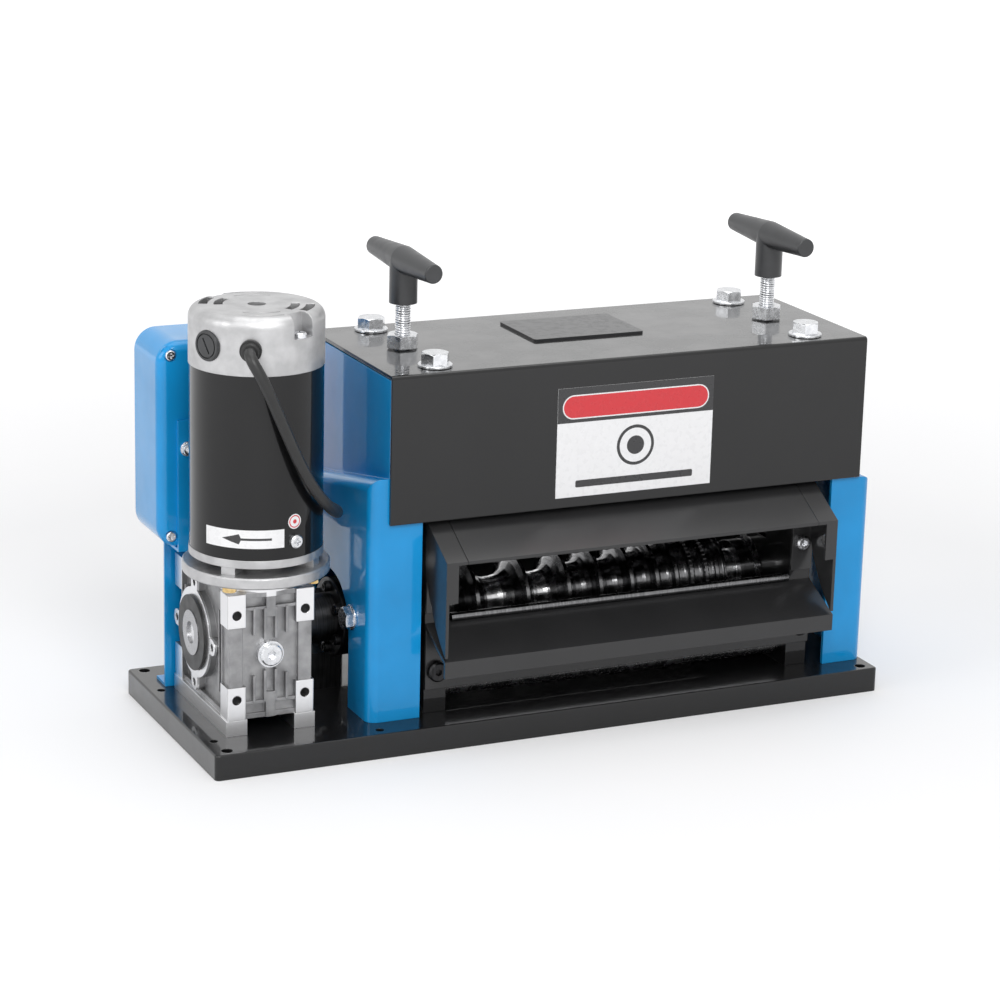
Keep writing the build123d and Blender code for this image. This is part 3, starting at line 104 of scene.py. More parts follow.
def cable(name, points, diameter):
    """A round cable along given points."""
    curve = bpy.data.curves.new(name, "CURVE")
    curve.dimensions = "3D"
    curve.bevel_depth = diameter / 2
    curve.bevel_resolution = 8
    curve.resolution_u = 16
    curve.use_fill_caps = True
    spline = curve.splines.new("NURBS")
    spline.points.add(len(points) - 1)
    for control, place in zip(spline.points, points):
        control.co = (*place, 1.0)
    spline.order_u = 3
    spline.use_endpoint_u = True
    cable_object = bpy.data.objects.new(name, curve)
    bpy.context.scene.collection.objects.link(cable_object)
    return cable_object


lead = cable("lead", lead_points, lead_diameter)
lead_runs = [(b - a).length for a, b in zip(lead_points, lead_points[1:])]
print("lead runs add up to", round(sum(lead_runs), 4))

# %% [markdown]
# Every finish below is a small tree of nodes on one Principled shader. These helpers make the tree
# shorter to write: one adds a noise pattern in the object's own coordinates, one turns a pattern into a
# bump, and one rounds sharp edges in the shading so that they catch a line of light.

# %% Material helpers


def start_material(name, colour, roughness, metallic=0.0):
    """A new material with one Principled shader, and a holder for its parts."""
    material = bpy.data.materials.new(name)
    material.use_nodes = True
    tree = material.node_tree
    shader = tree.nodes["Principled BSDF"]
    shader.inputs["Base Color"].default_value = (*colour, 1.0)
    shader.inputs["Roughness"].default_value = roughness
    shader.inputs["Metallic"].default_value = metallic
    material.diffuse_color = (*colour, 1.0)
    return material, tree, shader


def object_coordinates(tree, stretch=(1.0, 1.0, 1.0), centre=(0.0, 0.0, 0.0)):
    """Coordinates in metres, moved to a centre and stretched along each axis."""
    coordinates = tree.nodes.new("ShaderNodeTexCoord")
    mapping = tree.nodes.new("ShaderNodeMapping")
    mapping.vector_type = "TEXTURE"
    mapping.inputs["Location"].default_value = centre
    mapping.inputs["Scale"].default_value = stretch
    tree.links.new(coordinates.outputs["Object"], mapping.inputs["Vector"])
    return mapping.outputs["Vector"]


def noise(tree, size, detail=2.0, stretch=(1.0, 1.0, 1.0)):
    """A noise pattern whose grains are about this size in metres."""
    texture = tree.nodes.new("ShaderNodeTexNoise")
    texture.inputs["Scale"].default_value = 1.0 / size
    texture.inputs["Detail"].default_value = detail
    tree.links.new(object_coordinates(tree, stretch), texture.inputs["Vector"])
    return texture.outputs["Fac"]


def between(tree, pattern, low, high, start=0.35, end=0.65):
    """Spread a pattern's middle values between two numbers."""
    spread = tree.nodes.new("ShaderNodeMapRange")
    spread.inputs["From Min"].default_value = start
    spread.inputs["From Max"].default_value = end
    spread.inputs["To Min"].default_value = low
    spread.inputs["To Max"].default_value = high
    tree.links.new(pattern, spread.inputs["Value"])
    return spread.outputs["Result"]


def blend_colours(tree, pattern, low_colour, high_colour):
    """A colour that goes from one to another with a pattern."""
    mix = tree.nodes.new("ShaderNodeMix")
    mix.data_type = "RGBA"
    mix.inputs["A"].default_value = (*low_colour, 1.0)
    mix.inputs["B"].default_value = (*high_colour, 1.0)
    tree.links.new(pattern, mix.inputs["Factor"])
    return mix.outputs["Result"]


def any_of(tree, sockets):
    """The largest of these patterns."""
    result = sockets[0]
    for socket in sockets[1:]:
        larger = tree.nodes.new("ShaderNodeMath")
        larger.operation = "MAXIMUM"
        tree.links.new(result, larger.inputs[0])
        tree.links.new(socket, larger.inputs[1])
        result = larger.outputs["Value"]
    return result


def two_tones(tree, shader, pattern, dark, light):
    """Let a pattern's middle values carry the colour from dark to light."""
    tones = blend_colours(tree, between(tree, pattern, 0.0, 1.0), dark, light)
    tree.links.new(tones, shader.inputs["Base Color"])


def relief(tree, pattern, depth, edge_radius=0.0):
    """A bump of this depth in metres, over edges that look rounded."""
    bump = tree.nodes.new("ShaderNodeBump")
    bump.inputs["Distance"].default_value = depth
    bump.inputs["Strength"].default_value = 1.0
    tree.links.new(pattern, bump.inputs["Height"])
    if edge_radius > 0:
        bevel = tree.nodes.new("ShaderNodeBevel")
        bevel.samples = 4
        bevel.inputs["Radius"].default_value = edge_radius
        tree.links.new(bevel.outputs["Normal"], bump.inputs["Normal"])
    return bump.outputs["Normal"]


# %% [markdown]
# Powder coat is sprayed as dry powder and melted, so it is thick and glossy, with the low waves called
# orange peel. A clear coat layer over the colour gives the mirror-like reflections that show at a low
# angle, and a noise of about two millimetres gives the waves. The sheets round the rollers are a little
# duller than the hood, and the motor's tube has a thinner, smoother enamel.

# %% Powder coat


def powder_coat(name, colour, peel=1.2e-5, coat_ior=1.42, coat_roughness=0.035):
    """Thick paint under a clear coat, with waves of this height in metres."""
    material, tree, shader = start_material(name, colour, 0.32)
    shader.inputs["Specular IOR Level"].default_value = 0.1
    shader.inputs["Coat Weight"].default_value = 1.0
    shader.inputs["Coat IOR"].default_value = coat_ior
    shader.inputs["Coat Roughness"].default_value = coat_roughness
    dust = between(tree, noise(tree, 0.03, 4.0), 0.28, 0.40)
    tree.links.new(dust, shader.inputs["Roughness"])
    deeper = [0.86 * part for part in colour]
    two_tones(tree, shader, noise(tree, 0.05, 3.0), deeper, colour)
    waves = relief(tree, noise(tree, 0.0022, 1.0), peel, 0.0007)
    tree.links.new(waves, shader.inputs["Normal"])
    tree.links.new(waves, shader.inputs["Coat Normal"])
    return material


black_coat = powder_coat("black_powder_coat", (0.008, 0.008, 0.0085))
guard_coat = powder_coat("guard_powder_coat", (0.026, 0.026, 0.027), 1.2e-5, 1.45, 0.22)
blue_coat = powder_coat("blue_powder_coat", (0.006, 0.305, 0.70), 1.0e-5, 1.38)
tube_enamel = powder_coat("black_tube_enamel", (0.006, 0.006, 0.0065), 5.0e-6, 1.34)

# %% [markdown]
# Die-cast aluminium is blasted after casting: it is matt and light, with a fine grain. Two noises work
# together, a broad one for the tone and a fine one for the grain. The motor's head is a paler casting
# than the gearbox.

# %% Cast aluminium


def cast_metal(name, dark, light, roughness, grain=6.0e-5):
    """A matt casting, with a grain of this height in metres."""
    material, tree, shader = start_material(name, light, roughness, 1.0)
    two_tones(tree, shader, noise(tree, 0.012, 5.0), dark, light)
    rough = between(tree, noise(tree, 0.004, 3.0), roughness - 0.06, roughness + 0.08)
    tree.links.new(rough, shader.inputs["Roughness"])
    surface = relief(tree, noise(tree, 0.0007, 2.0), grain, 0.0006)
    tree.links.new(surface, shader.inputs["Normal"])
    return material


cast_aluminium = cast_metal("cast_aluminium", (0.44, 0.44, 0.445), (0.54, 0.54, 0.545), 0.46)
gearbox_casting = cast_metal("gearbox_casting", (0.26, 0.26, 0.265), (0.38, 0.38, 0.385), 0.46)
ferrite = cast_metal("ferrite", (0.05, 0.05, 0.055), (0.09, 0.09, 0.095), 0.6)

# %% [markdown]
# The gearbox's feet and mounting pads are milled after casting, so their faces are bright and smooth.
# They all lie in the outermost planes of the housing. Coordinates that are centred on the housing and
# divided by its half sizes reach one exactly there, so one comparison finds every milled face.

# %% Milled faces of the gearbox
gearbox_middle = (motor_x, -8.5 * MM, 66.0 * MM)
gearbox_half_sizes = (28.0 * MM, 48.5 * MM, 40.0 * MM)
milled_from, milled_to = 0.995, 0.997
milled_colour = (0.80, 0.80, 0.81)
milled_roughness = 0.30
casting_tree = gearbox_casting.node_tree
casting_shader = casting_tree.nodes["Principled BSDF"]
distances = casting_tree.nodes.new("ShaderNodeVectorMath")
distances.operation = "ABSOLUTE"
centred = object_coordinates(casting_tree, stretch=gearbox_half_sizes, centre=gearbox_middle)
casting_tree.links.new(centred, distances.inputs[0])
reach = casting_tree.nodes.new("ShaderNodeSeparateXYZ")
casting_tree.links.new(distances.outputs["Vector"], reach.inputs["Vector"])
milled = between(casting_tree, any_of(casting_tree, reach.outputs), 0.0, 1.0, milled_from, milled_to)

cast_colour = casting_shader.inputs["Base Color"].links[0].from_socket
cast_or_milled = blend_colours(casting_tree, milled, (0.0, 0.0, 0.0), milled_colour)
casting_tree.links.new(cast_colour, cast_or_milled.node.inputs["A"])
casting_tree.links.new(cast_or_milled, casting_shader.inputs["Base Color"])
cast_roughness = casting_shader.inputs["Roughness"].links[0].from_socket
rough_or_smooth = between(casting_tree, milled, 0.0, milled_roughness, 0.0, 1.0)
casting_tree.links.new(cast_roughness, rough_or_smooth.node.inputs["To Min"])
casting_tree.links.new(rough_or_smooth, casting_shader.inputs["Roughness"])
print("milled faces begin", milled_from, "of the way out")

# %% [markdown]
# Turned and ground steel shows rings where the tool went round. The rollers, shafts and gears all turn
# about an axis along X, so a noise that is stretched across X gives rings without any image.

# %% Turned steel


def turned_metal(name, dark, light, roughness, ring=4.0e-6):
    """Metal with tool marks round X, of this height in metres."""
    material, tree, shader = start_material(name, light, roughness, 1.0)
    rings = noise(tree, 0.0004, 3.0, stretch=(1.0, 60.0, 60.0))
    two_tones(tree, shader, rings, dark, light)
    stains = between(tree, noise(tree, 0.006, 4.0), roughness - 0.05, roughness + 0.08)
    tree.links.new(stains, shader.inputs["Roughness"])
    tree.links.new(relief(tree, rings, ring, 0.0004), shader.inputs["Normal"])
    return material


turned_steel = turned_metal("turned_steel", (0.44, 0.44, 0.45), (0.60, 0.60, 0.61), 0.24)
roller_steel = turned_metal("hardened_steel", (0.13, 0.13, 0.135), (0.26, 0.26, 0.265), 0.2)
black_steel = turned_metal("blackened_steel", (0.022, 0.022, 0.023), (0.05, 0.05, 0.052), 0.38)
bronze = turned_metal("bronze", (0.48, 0.30, 0.13), (0.66, 0.44, 0.20), 0.28)

# %% [markdown]
# Two of these metals change near the lower roller's axis. The worm wheel is a bronze rim on a steel
# sleeve, whose end shows in the gearbox's side. The roller is dark outside, and the floors of its
# channels are a bright steel: partly their polish, and partly a painted glint that stands in for the
# highlights they catch. A distance from the axis, measured across it, tells both apart.

# %% Other colours near the axis
drive_height = 66.0 * MM
flat_along_axis = (1.0e6, 1.0, 1.0)
colour_edge = 0.1 * MM


def colour_near_axis(material, radius, colour):
    """Another colour within a radius of the lower roller's axis."""
    tree = material.node_tree
    shader = tree.nodes["Principled BSDF"]
    from_axis = tree.nodes.new("ShaderNodeVectorMath")
    from_axis.operation = "LENGTH"
    across = object_coordinates(tree, stretch=flat_along_axis, centre=(0.0, 0.0, drive_height))
    tree.links.new(across, from_axis.inputs[0])
    outside = between(tree, from_axis.outputs["Value"], 0.0, 1.0, radius, radius + colour_edge)
    outer_colour = shader.inputs["Base Color"].links[0].from_socket
    either = blend_colours(tree, outside, colour, (0.0, 0.0, 0.0))
    tree.links.new(outer_colour, either.node.inputs["B"])
    tree.links.new(either, shader.inputs["Base Color"])


sleeve_radius = 14.3 * MM
channel_floor_radius = 14.6 * MM
colour_near_axis(bronze, sleeve_radius, (0.40, 0.40, 0.41))
# The bright floors of the roller's channels are partly a painted glint.
colour_near_axis(roller_steel, channel_floor_radius, (0.72, 0.72, 0.73))

# %% [markdown]
# Bolts, nuts and screws are zinc plated. Plating is bright but never a mirror: it clouds where it was
# handled. The flange bolts are passivated to a warm yellow.

# %% Zinc plate


def plated(name, dark, light, roughness=0.2):
    """Bright plating with soft clouds."""
    material, tree, shader = start_material(name, light, roughness, 1.0)
    clouds = noise(tree, 0.003, 4.0)
    two_tones(tree, shader, clouds, dark, light)
    tree.links.new(between(tree, clouds, roughness - 0.06, roughness + 0.12), shader.inputs["Roughness"])
    tree.links.new(relief(tree, noise(tree, 0.0005, 2.0), 8.0e-6, 0.0004), shader.inputs["Normal"])
    return material


zinc = plated("zinc_plate", (0.62, 0.63, 0.65), (0.80, 0.81, 0.83))
yellow_zinc = plated("yellow_zinc_plate", (0.58, 0.40, 0.16), (0.82, 0.62, 0.32))

# %% [markdown]
# The T-handles are moulded from filled nylon, the lead and its bushes from rubber. Both are dark and
# soft in their shine. Their grain is a fine bump, and the rubber is a little rougher in patches where
# it was touched.

# %% Nylon, rubber and glossy plastic


def moulded(name, colour, roughness, grain_size=0.0004, grain=1.2e-5):
    """Moulded plastic or rubber, with a grain of this size and height in metres."""
    material, tree, shader = start_material(name, colour, roughness)
    patches = noise(tree, 0.008, 4.0)
    paler = [min(1.0, 1.35 * part) for part in colour]
    two_tones(tree, shader, patches, colour, paler)
    tree.links.new(between(tree, patches, roughness - 0.05, roughness + 0.07), shader.inputs["Roughness"])
    tree.links.new(relief(tree, noise(tree, grain_size, 2.0), grain, 0.0005), shader.inputs["Normal"])
    return material


nylon = moulded("moulded_nylon", (0.030, 0.031, 0.033), 0.34)
rubber = moulded("rubber", (0.012, 0.012, 0.012), 0.42, 0.0009, 1.5e-5)
green_plastic = moulded("green_plastic", (0.03, 0.36, 0.09), 0.2, 0.002, 3.0e-6)
red_plastic = moulded("red_plastic", (0.55, 0.02, 0.02), 0.2, 0.002, 3.0e-6)

# %% [markdown]
# The stickers are printed film. Film lies flat, has a soft satin shine and picks up a little dust, so
# one function gives each colour the same surface.

# %% Printed film


def film(name, colour, roughness=0.28):
    """Printed film with a little dust."""
    material, tree, shader = start_material(name, colour, roughness)
    dust = noise(tree, 0.004, 5.0)
    duller = [0.97 * part for part in colour]
    two_tones(tree, shader, dust, duller, colour)
    tree.links.new(between(tree, dust, roughness - 0.05, roughness + 0.1), shader.inputs["Roughness"])
    tree.links.new(relief(tree, noise(tree, 0.0015, 2.0), 4.0e-6), shader.inputs["Normal"])
    return material


white_film = film("white_film", (0.83, 0.83, 0.84))
dark_film = film("dark_film", (0.035, 0.035, 0.037))
red_film = film("red_film", (0.62, 0.035, 0.045))
blank_plate = film("blank_plate", (0.020, 0.020, 0.022), 0.16)

# %% [markdown]
# Each solid gets one finish.

# %% Finish of each solid
finishes = {
    black_coat: [
        "base_plate", "left_side_frame", "right_side_frame", "hood",
    ],
    guard_coat: ["feed_guard", "feed_table", "outlet_guard", "outlet_table"],
    blue_coat: ["left_cover", "right_cover", "control_box", "box_lid", "box_bracket"],
    tube_enamel: ["motor_tube"],
    cast_aluminium: ["motor_flange", "motor_end_ring", "motor_head"],
    gearbox_casting: ["gearbox_housing", "gearbox_bars"],
    ferrite: ["motor_magnets", "carbon_brushes"],
    turned_steel: [
        "blade_shaft", "lower_bearings", "upper_bearings", "lower_gear", "upper_gear", "worm", "tie_bars",
    ],
    roller_steel: ["lower_roller", "upper_rings", "blades", "guide_rods"],
    black_steel: [
        "coupling_housing", "coupling_bolts", "support_block", "table_screws",
        "left_bearing_block", "right_bearing_block", "armature",
    ],
    bronze: ["worm_wheel"],
    zinc: [
        "hood_bolts", "cover_bolts", "guard_screws", "oil_plug", "panhead_screws",
        "bracket_bolts", "lock_nuts", "left_screw", "right_screw",
    ],
    yellow_zinc: ["flange_bolts"],
    nylon: ["left_handle", "right_handle", "brush_caps"],
    rubber: ["cord_glands", "shaft_seals", "motor_lead"],
    white_film: ["sign_plate"],
    blank_plate: ["name_plate"],
    green_plastic: ["start_button"],
    red_plastic: ["stop_button"],
}
finished = set()
for material, names in finishes.items():
    for name in names:
        mesh = nodes[name].data
        mesh.materials.clear()
        mesh.materials.append(material)
        finished.add(name)
print("solids without a finish:", sorted(set(nodes) - finished))

# %% [markdown]
# Small pieces of film are easiest to build from an outline. One helper fills an outline and gives it a
# thickness, and it is used for the sign's shapes. Another puts a finished mesh in the scene, on its
# body, because a sticker has to move with what it is stuck to.

# %% Flat shapes


def link_mesh(name, mesh, material, body):
    """Put a finished mesh in the scene, on its body."""
    mesh.materials.append(material)
    piece = bpy.data.objects.new(name, mesh)
    bpy.context.scene.collection.objects.link(piece)
    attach(piece, body)
    return piece


def thin_shape(name, outline, thickness, place):
    """A mesh from a closed outline of (x, y) points, given a thickness and then its place."""
    mesh = bpy.data.meshes.new(name)
    shape = bmesh.new()
    corners = [shape.verts.new((x, y, 0.0)) for x, y in outline]
    face = shape.faces.new(corners)
    raised = bmesh.ops.extrude_face_region(shape, geom=[face])
    for part in raised["geom"]:
        if isinstance(part, bmesh.types.BMVert):
            part.co.z += thickness
    bmesh.ops.transform(shape, matrix=place, verts=shape.verts)
    bmesh.ops.recalc_face_normals(shape, faces=shape.faces)
    shape.to_mesh(mesh)
    shape.free()
    return mesh


def rounded_outline(left, low, right, high, radius, steps=8):
    """Corners of a rectangle with round corners."""
    points = []
    for cx, cy, start in (
        (right - radius, high - radius, 0),
        (left + radius, high - radius, 90),
        (left + radius, low + radius, 180),
        (right - radius, low + radius, 270),
    ):
        for step in range(steps + 1):
            turn = math.radians(start + 90 * step / steps)
            points.append((cx + radius * math.cos(turn), cy + radius * math.sin(turn)))
    return points


# %% [markdown]
# The sign on the hood's front keeps its layout, a dark band with a red field over a white field with a
# ring, but it says nothing: the field is blank and the ring holds a plain disc. The shapes lie on the
# plate in layers a few hundredths of a millimetre thick, as printed film does.

# %% The sign
sign_low, sign_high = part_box("sign_plate")
sign_front = sign_low[1]
layer = 0.06 * MM


def on_sign(level):
    """The plane of the hood's front, with the shape's own X to the right and Y up."""
    return Matrix(((1, 0, 0, 0), (0, 0, -1, sign_front - level * layer), (0, 1, 0, 0), (0, 0, 0, 1)))


def sign_shape(name, outline, level, material):
    """One printed shape on the sign, in the layer of this level."""
    mesh = thin_shape(name, outline, layer, on_sign(level))
    return link_mesh(name, mesh, material, "machine")


def circle_outline(cx, cy, radius, steps=48):
    """Corners of a circle."""
    turns = [2 * math.pi * step / steps for step in range(steps)]
    return [(cx + radius * math.cos(turn), cy + radius * math.sin(turn)) for turn in turns]


sign_left, sign_right, sign_top = sign_low[0], sign_high[0], sign_high[2]
band_low = 197.3 * MM
band_corner = 0.1 * MM
band_outline = rounded_outline(sign_left, band_low, sign_right, sign_top, band_corner, 1)
sign_shape("sign_band", band_outline, 0, dark_film)

field_left, field_right = sign_left + 3.2 * MM, sign_right - 3.2 * MM
field_low, field_high = band_low + 2.2 * MM, sign_top - 4.6 * MM
just_over_half = 2.01
for name, inset, level, material in (
    ("sign_field_rim", 0.0, 1, white_film),
    ("sign_field", 0.8 * MM, 2, red_film),
):
    low, high = field_low + inset, field_high - inset
    end_radius = (high - low) / just_over_half
    field_outline = rounded_outline(field_left + inset, low, field_right - inset, high, end_radius)
    sign_shape(name, field_outline, level, material)

ring_centre = (53.0 * MM, 179.5 * MM)
for level, (name, radius, material) in enumerate((
    ("sign_ring", 13.0 * MM, dark_film),
    ("sign_ring_inside", 11.0 * MM, white_film),
    ("sign_disc", 6.0 * MM, dark_film),
)):
    sign_shape(name, circle_outline(*ring_centre, radius), level, material)
bar_outline = rounded_outline(12.0 * MM, 155.5 * MM, 94.0 * MM, 160.0 * MM, 1.0 * MM, 3)
sign_shape("sign_bar", bar_outline, 0, dark_film)
print("sign width in mm", round((sign_right - sign_left) / MM, 1))

# %% [markdown]
# Two stickers are wrapped round the motor's tube: an arrow for the direction of turning, and a round
# earth mark, left plain. A wrapped shape is built from columns: at each angle round the tube, the lowest
# and highest point of the shape. Neighbouring columns make a strip that bends with the tube.

# %% Stickers on the tube
tube_low, tube_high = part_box("motor_tube")
tube_radius = (tube_high[0] - tube_low[0]) / 2


def wrapped(name, columns, lift, material):
    """A strip on the tube, from (angle, low, high) columns in degrees and millimetres."""
    mesh = bpy.data.meshes.new(name)
    strip = bmesh.new()
    radii = (tube_radius + 0.02 * MM, tube_radius + lift)
    rows = []
    for angle, low, high in columns:
        turn = math.radians(angle)
        row = []
        for radius, z in ((radii[0], low), (radii[0], high), (radii[1], high), (radii[1], low)):
            x = motor_x + radius * math.cos(turn)
            y = motor_y + radius * math.sin(turn)
            row.append(strip.verts.new((x, y, z * MM)))
        rows.append(row)
    for first, second in zip(rows, rows[1:]):
        for i in range(4):
            j = (i + 1) % 4
            strip.faces.new((first[i], first[j], second[j], second[i]))
    strip.faces.new(rows[0])
    strip.faces.new(rows[-1][::-1])
    bmesh.ops.recalc_face_normals(strip, faces=strip.faces)
    strip.to_mesh(mesh)
    strip.free()
    return link_mesh(name, mesh, material, "machine")


sheet_lift, print_lift = 0.07 * MM, 0.12 * MM
sheet_start, sheet_end = -157.0, -86.0
sheet_low, sheet_high = 137.6, 149.0
sheet_steps = 36
sheet_columns = []
for i in range(sheet_steps + 1):
    angle = sheet_start + (sheet_end - sheet_start) * i / sheet_steps
    sheet_columns.append((angle, sheet_low, sheet_high))
wrapped("arrow_sheet", sheet_columns, sheet_lift, white_film)

arrow_middle = (sheet_low + sheet_high) / 2
head_start, head_end, shaft_end = -140.0, -125.0, -97.0
tip_half, head_half, shaft_half = 0.05, 3.2, 0.7
head_steps, shaft_steps = 8, 16
arrow_columns = []
for i in range(head_steps + 1):
    share = i / head_steps
    angle = head_start + (head_end - head_start) * share
    half = tip_half + (head_half - tip_half) * share
    arrow_columns.append((angle, arrow_middle - half, arrow_middle + half))
for i in range(1, shaft_steps + 1):
    angle = head_end + (shaft_end - head_end) * i / shaft_steps
    arrow_columns.append((angle, arrow_middle - shaft_half, arrow_middle + shaft_half))
wrapped("arrow", arrow_columns, print_lift, dark_film)
print("arrow sheet covers", round(sheet_end - sheet_start), "degrees of the tube")


def round_columns(angle, z, radius, count=16):
    """Columns of a disc on the tube."""
    columns = []
    for i in range(count + 1):
        turn = math.pi * i / count
        across = -radius * math.cos(turn)
        half = max(radius * math.sin(turn), 0.02)
        columns.append((angle + math.degrees(across * MM / tube_radius), z - half, z + half))
    return columns


earth_angle, earth_z = -76.0, 152.8
for part, radius, lift, material in (
    ("sheet", 4.6, 0.07 * MM, white_film),
    ("ring", 3.9, 0.11 * MM, red_film),
    ("inside", 3.2, 0.15 * MM, white_film),
    ("dot", 1.3, 0.19 * MM, red_film),
):
    wrapped("earth_mark_" + part, round_columns(earth_angle, earth_z, radius), lift, material)

# %% [markdown]
# The T-handle screws are threaded rods of ten millimetres. A thread is a ridge that climbs along a
# helix, so it follows a path, and Geometry Nodes can build it from sizes: a spiral is swept with a small
# four-cornered profile, round a core. The tree takes the radius, pitch and length as inputs, so both
# screws come from it.

# %% A node tree for threads


def tree_input(tree, name, kind, value):
    socket = tree.interface.new_socket(name=name, in_out="INPUT", socket_type=kind)
    if value is not None:
        socket.default_value = value
    return socket


def thread_tree():
    """Geometry Nodes that sweep a ridge along a helix round a core."""
    tree = bpy.data.node_groups.new("thread", "GeometryNodeTree")
    tree.interface.new_socket(name="Geometry", in_out="OUTPUT", socket_type="NodeSocketGeometry")
    tree_input(tree, "Crest Radius", "NodeSocketFloat", 5.0 * MM)
    tree_input(tree, "Ridge", "NodeSocketFloat", 0.9 * MM)
    tree_input(tree, "Pitch", "NodeSocketFloat", 1.5 * MM)
    tree_input(tree, "Length", "NodeSocketFloat", 30.0 * MM)
    tree_input(tree, "Place", "NodeSocketVector", (0.0, 0.0, 0.0))
    tree_input(tree, "Finish", "NodeSocketMaterial", None)
    sizes = tree.nodes.new("NodeGroupInput")
    result = tree.nodes.new("NodeGroupOutput")

    def value(operation, first, second):
        node = tree.nodes.new("ShaderNodeMath")
        node.operation = operation
        for socket, source in zip(node.inputs, (first, second)):
            if isinstance(source, (int, float)):
                socket.default_value = source
            else:
                tree.links.new(source, socket)
        return node.outputs["Value"]

    path_radius = value("SUBTRACT", sizes.outputs["Crest Radius"], sizes.outputs["Ridge"])
    helix = tree.nodes.new("GeometryNodeCurveSpiral")
    helix.inputs["Resolution"].default_value = 40
    turns = value("DIVIDE", sizes.outputs["Length"], sizes.outputs["Pitch"])
    tree.links.new(turns, helix.inputs["Rotations"])
    tree.links.new(path_radius, helix.inputs["Start Radius"])
    tree.links.new(path_radius, helix.inputs["End Radius"])
    tree.links.new(sizes.outputs["Length"], helix.inputs["Height"])
    profile = tree.nodes.new("GeometryNodeCurvePrimitiveCircle")
    profile.inputs["Resolution"].default_value = 4
    tree.links.new(sizes.outputs["Ridge"], profile.inputs["Radius"])
    sweep = tree.nodes.new("GeometryNodeCurveToMesh")
    sweep.inputs["Fill Caps"].default_value = True
    tree.links.new(helix.outputs["Curve"], sweep.inputs["Curve"])
    tree.links.new(profile.outputs["Curve"], sweep.inputs["Profile Curve"])
    core = tree.nodes.new("GeometryNodeMeshCylinder")
    core.inputs["Vertices"].default_value = 40
    tree.links.new(path_radius, core.inputs["Radius"])
    tree.links.new(sizes.outputs["Length"], core.inputs["Depth"])
    lift = tree.nodes.new("ShaderNodeCombineXYZ")
    tree.links.new(value("MULTIPLY", sizes.outputs["Length"], 0.5), lift.inputs["Z"])
    raise_core = tree.nodes.new("GeometryNodeTransform")
    tree.links.new(core.outputs["Mesh"], raise_core.inputs["Geometry"])
    tree.links.new(lift.outputs["Vector"], raise_core.inputs["Translation"])
    both = tree.nodes.new("GeometryNodeJoinGeometry")
    tree.links.new(sweep.outputs["Mesh"], both.inputs["Geometry"])
    tree.links.new(raise_core.outputs["Geometry"], both.inputs["Geometry"])
    place = tree.nodes.new("GeometryNodeTransform")
    tree.links.new(both.outputs["Geometry"], place.inputs["Geometry"])
    tree.links.new(sizes.outputs["Place"], place.inputs["Translation"])
    real = tree.nodes.new("GeometryNodeRealizeInstances")
    tree.links.new(place.outputs["Geometry"], real.inputs["Geometry"])
    paint = tree.nodes.new("GeometryNodeSetMaterial")
    tree.links.new(real.outputs["Geometry"], paint.inputs["Geometry"])
    tree.links.new(sizes.outputs["Finish"], paint.inputs["Material"])
    tree.links.new(paint.outputs["Geometry"], result.inputs["Geometry"])
    return tree


def grow(name, tree, values):
    """Run a node tree with these inputs and keep the result as a plain mesh."""
    carrier = bpy.data.objects.new(name, bpy.data.meshes.new(name))
    bpy.context.scene.collection.objects.link(carrier)
    modifier = carrier.modifiers.new("grow", "NODES")
    modifier.node_group = tree
    for item in tree.interface.items_tree:
        if item.item_type == "SOCKET" and item.in_out == "INPUT" and item.name in values:
            modifier[item.identifier] = values[item.name]
    bpy.context.view_layer.update()
    evaluated = carrier.evaluated_get(bpy.context.evaluated_depsgraph_get())
    mesh = bpy.data.meshes.new_from_object(evaluated)
    carrier.modifiers.clear()
    carrier.data = mesh
    mesh.name = name
    return carrier


# %% The threaded screws
thread = thread_tree()
threaded_length = 110.0 * MM
for side in ("left", "right"):
    low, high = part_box(side + "_screw")
    middle = ((low[0] + high[0]) / 2, (low[1] + high[1]) / 2)
    thread_low = high[2] - threaded_length
    values = {
        "Length": high[2] - thread_low,
        "Place": (middle[0], middle[1], thread_low),
        "Finish": zinc,
    }
    rod = grow(side + "_threaded_rod", thread, values)
    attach(rod, side + "_turning_screw")
    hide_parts(side + "_screw")
    print(side, "thread from", round(thread_low, 4), "to", round(high[2], 4))

# %% [markdown]
# Two of the narrow lands on the lower roller are serrated, so that they grip a thin cable. The teeth are
# one small block repeated round a circle, each turned by its share of the full turn, so Geometry Nodes
# can build the ring from its sizes. The circle is then turned onto the roller's axis.

# %% A node tree for serrations


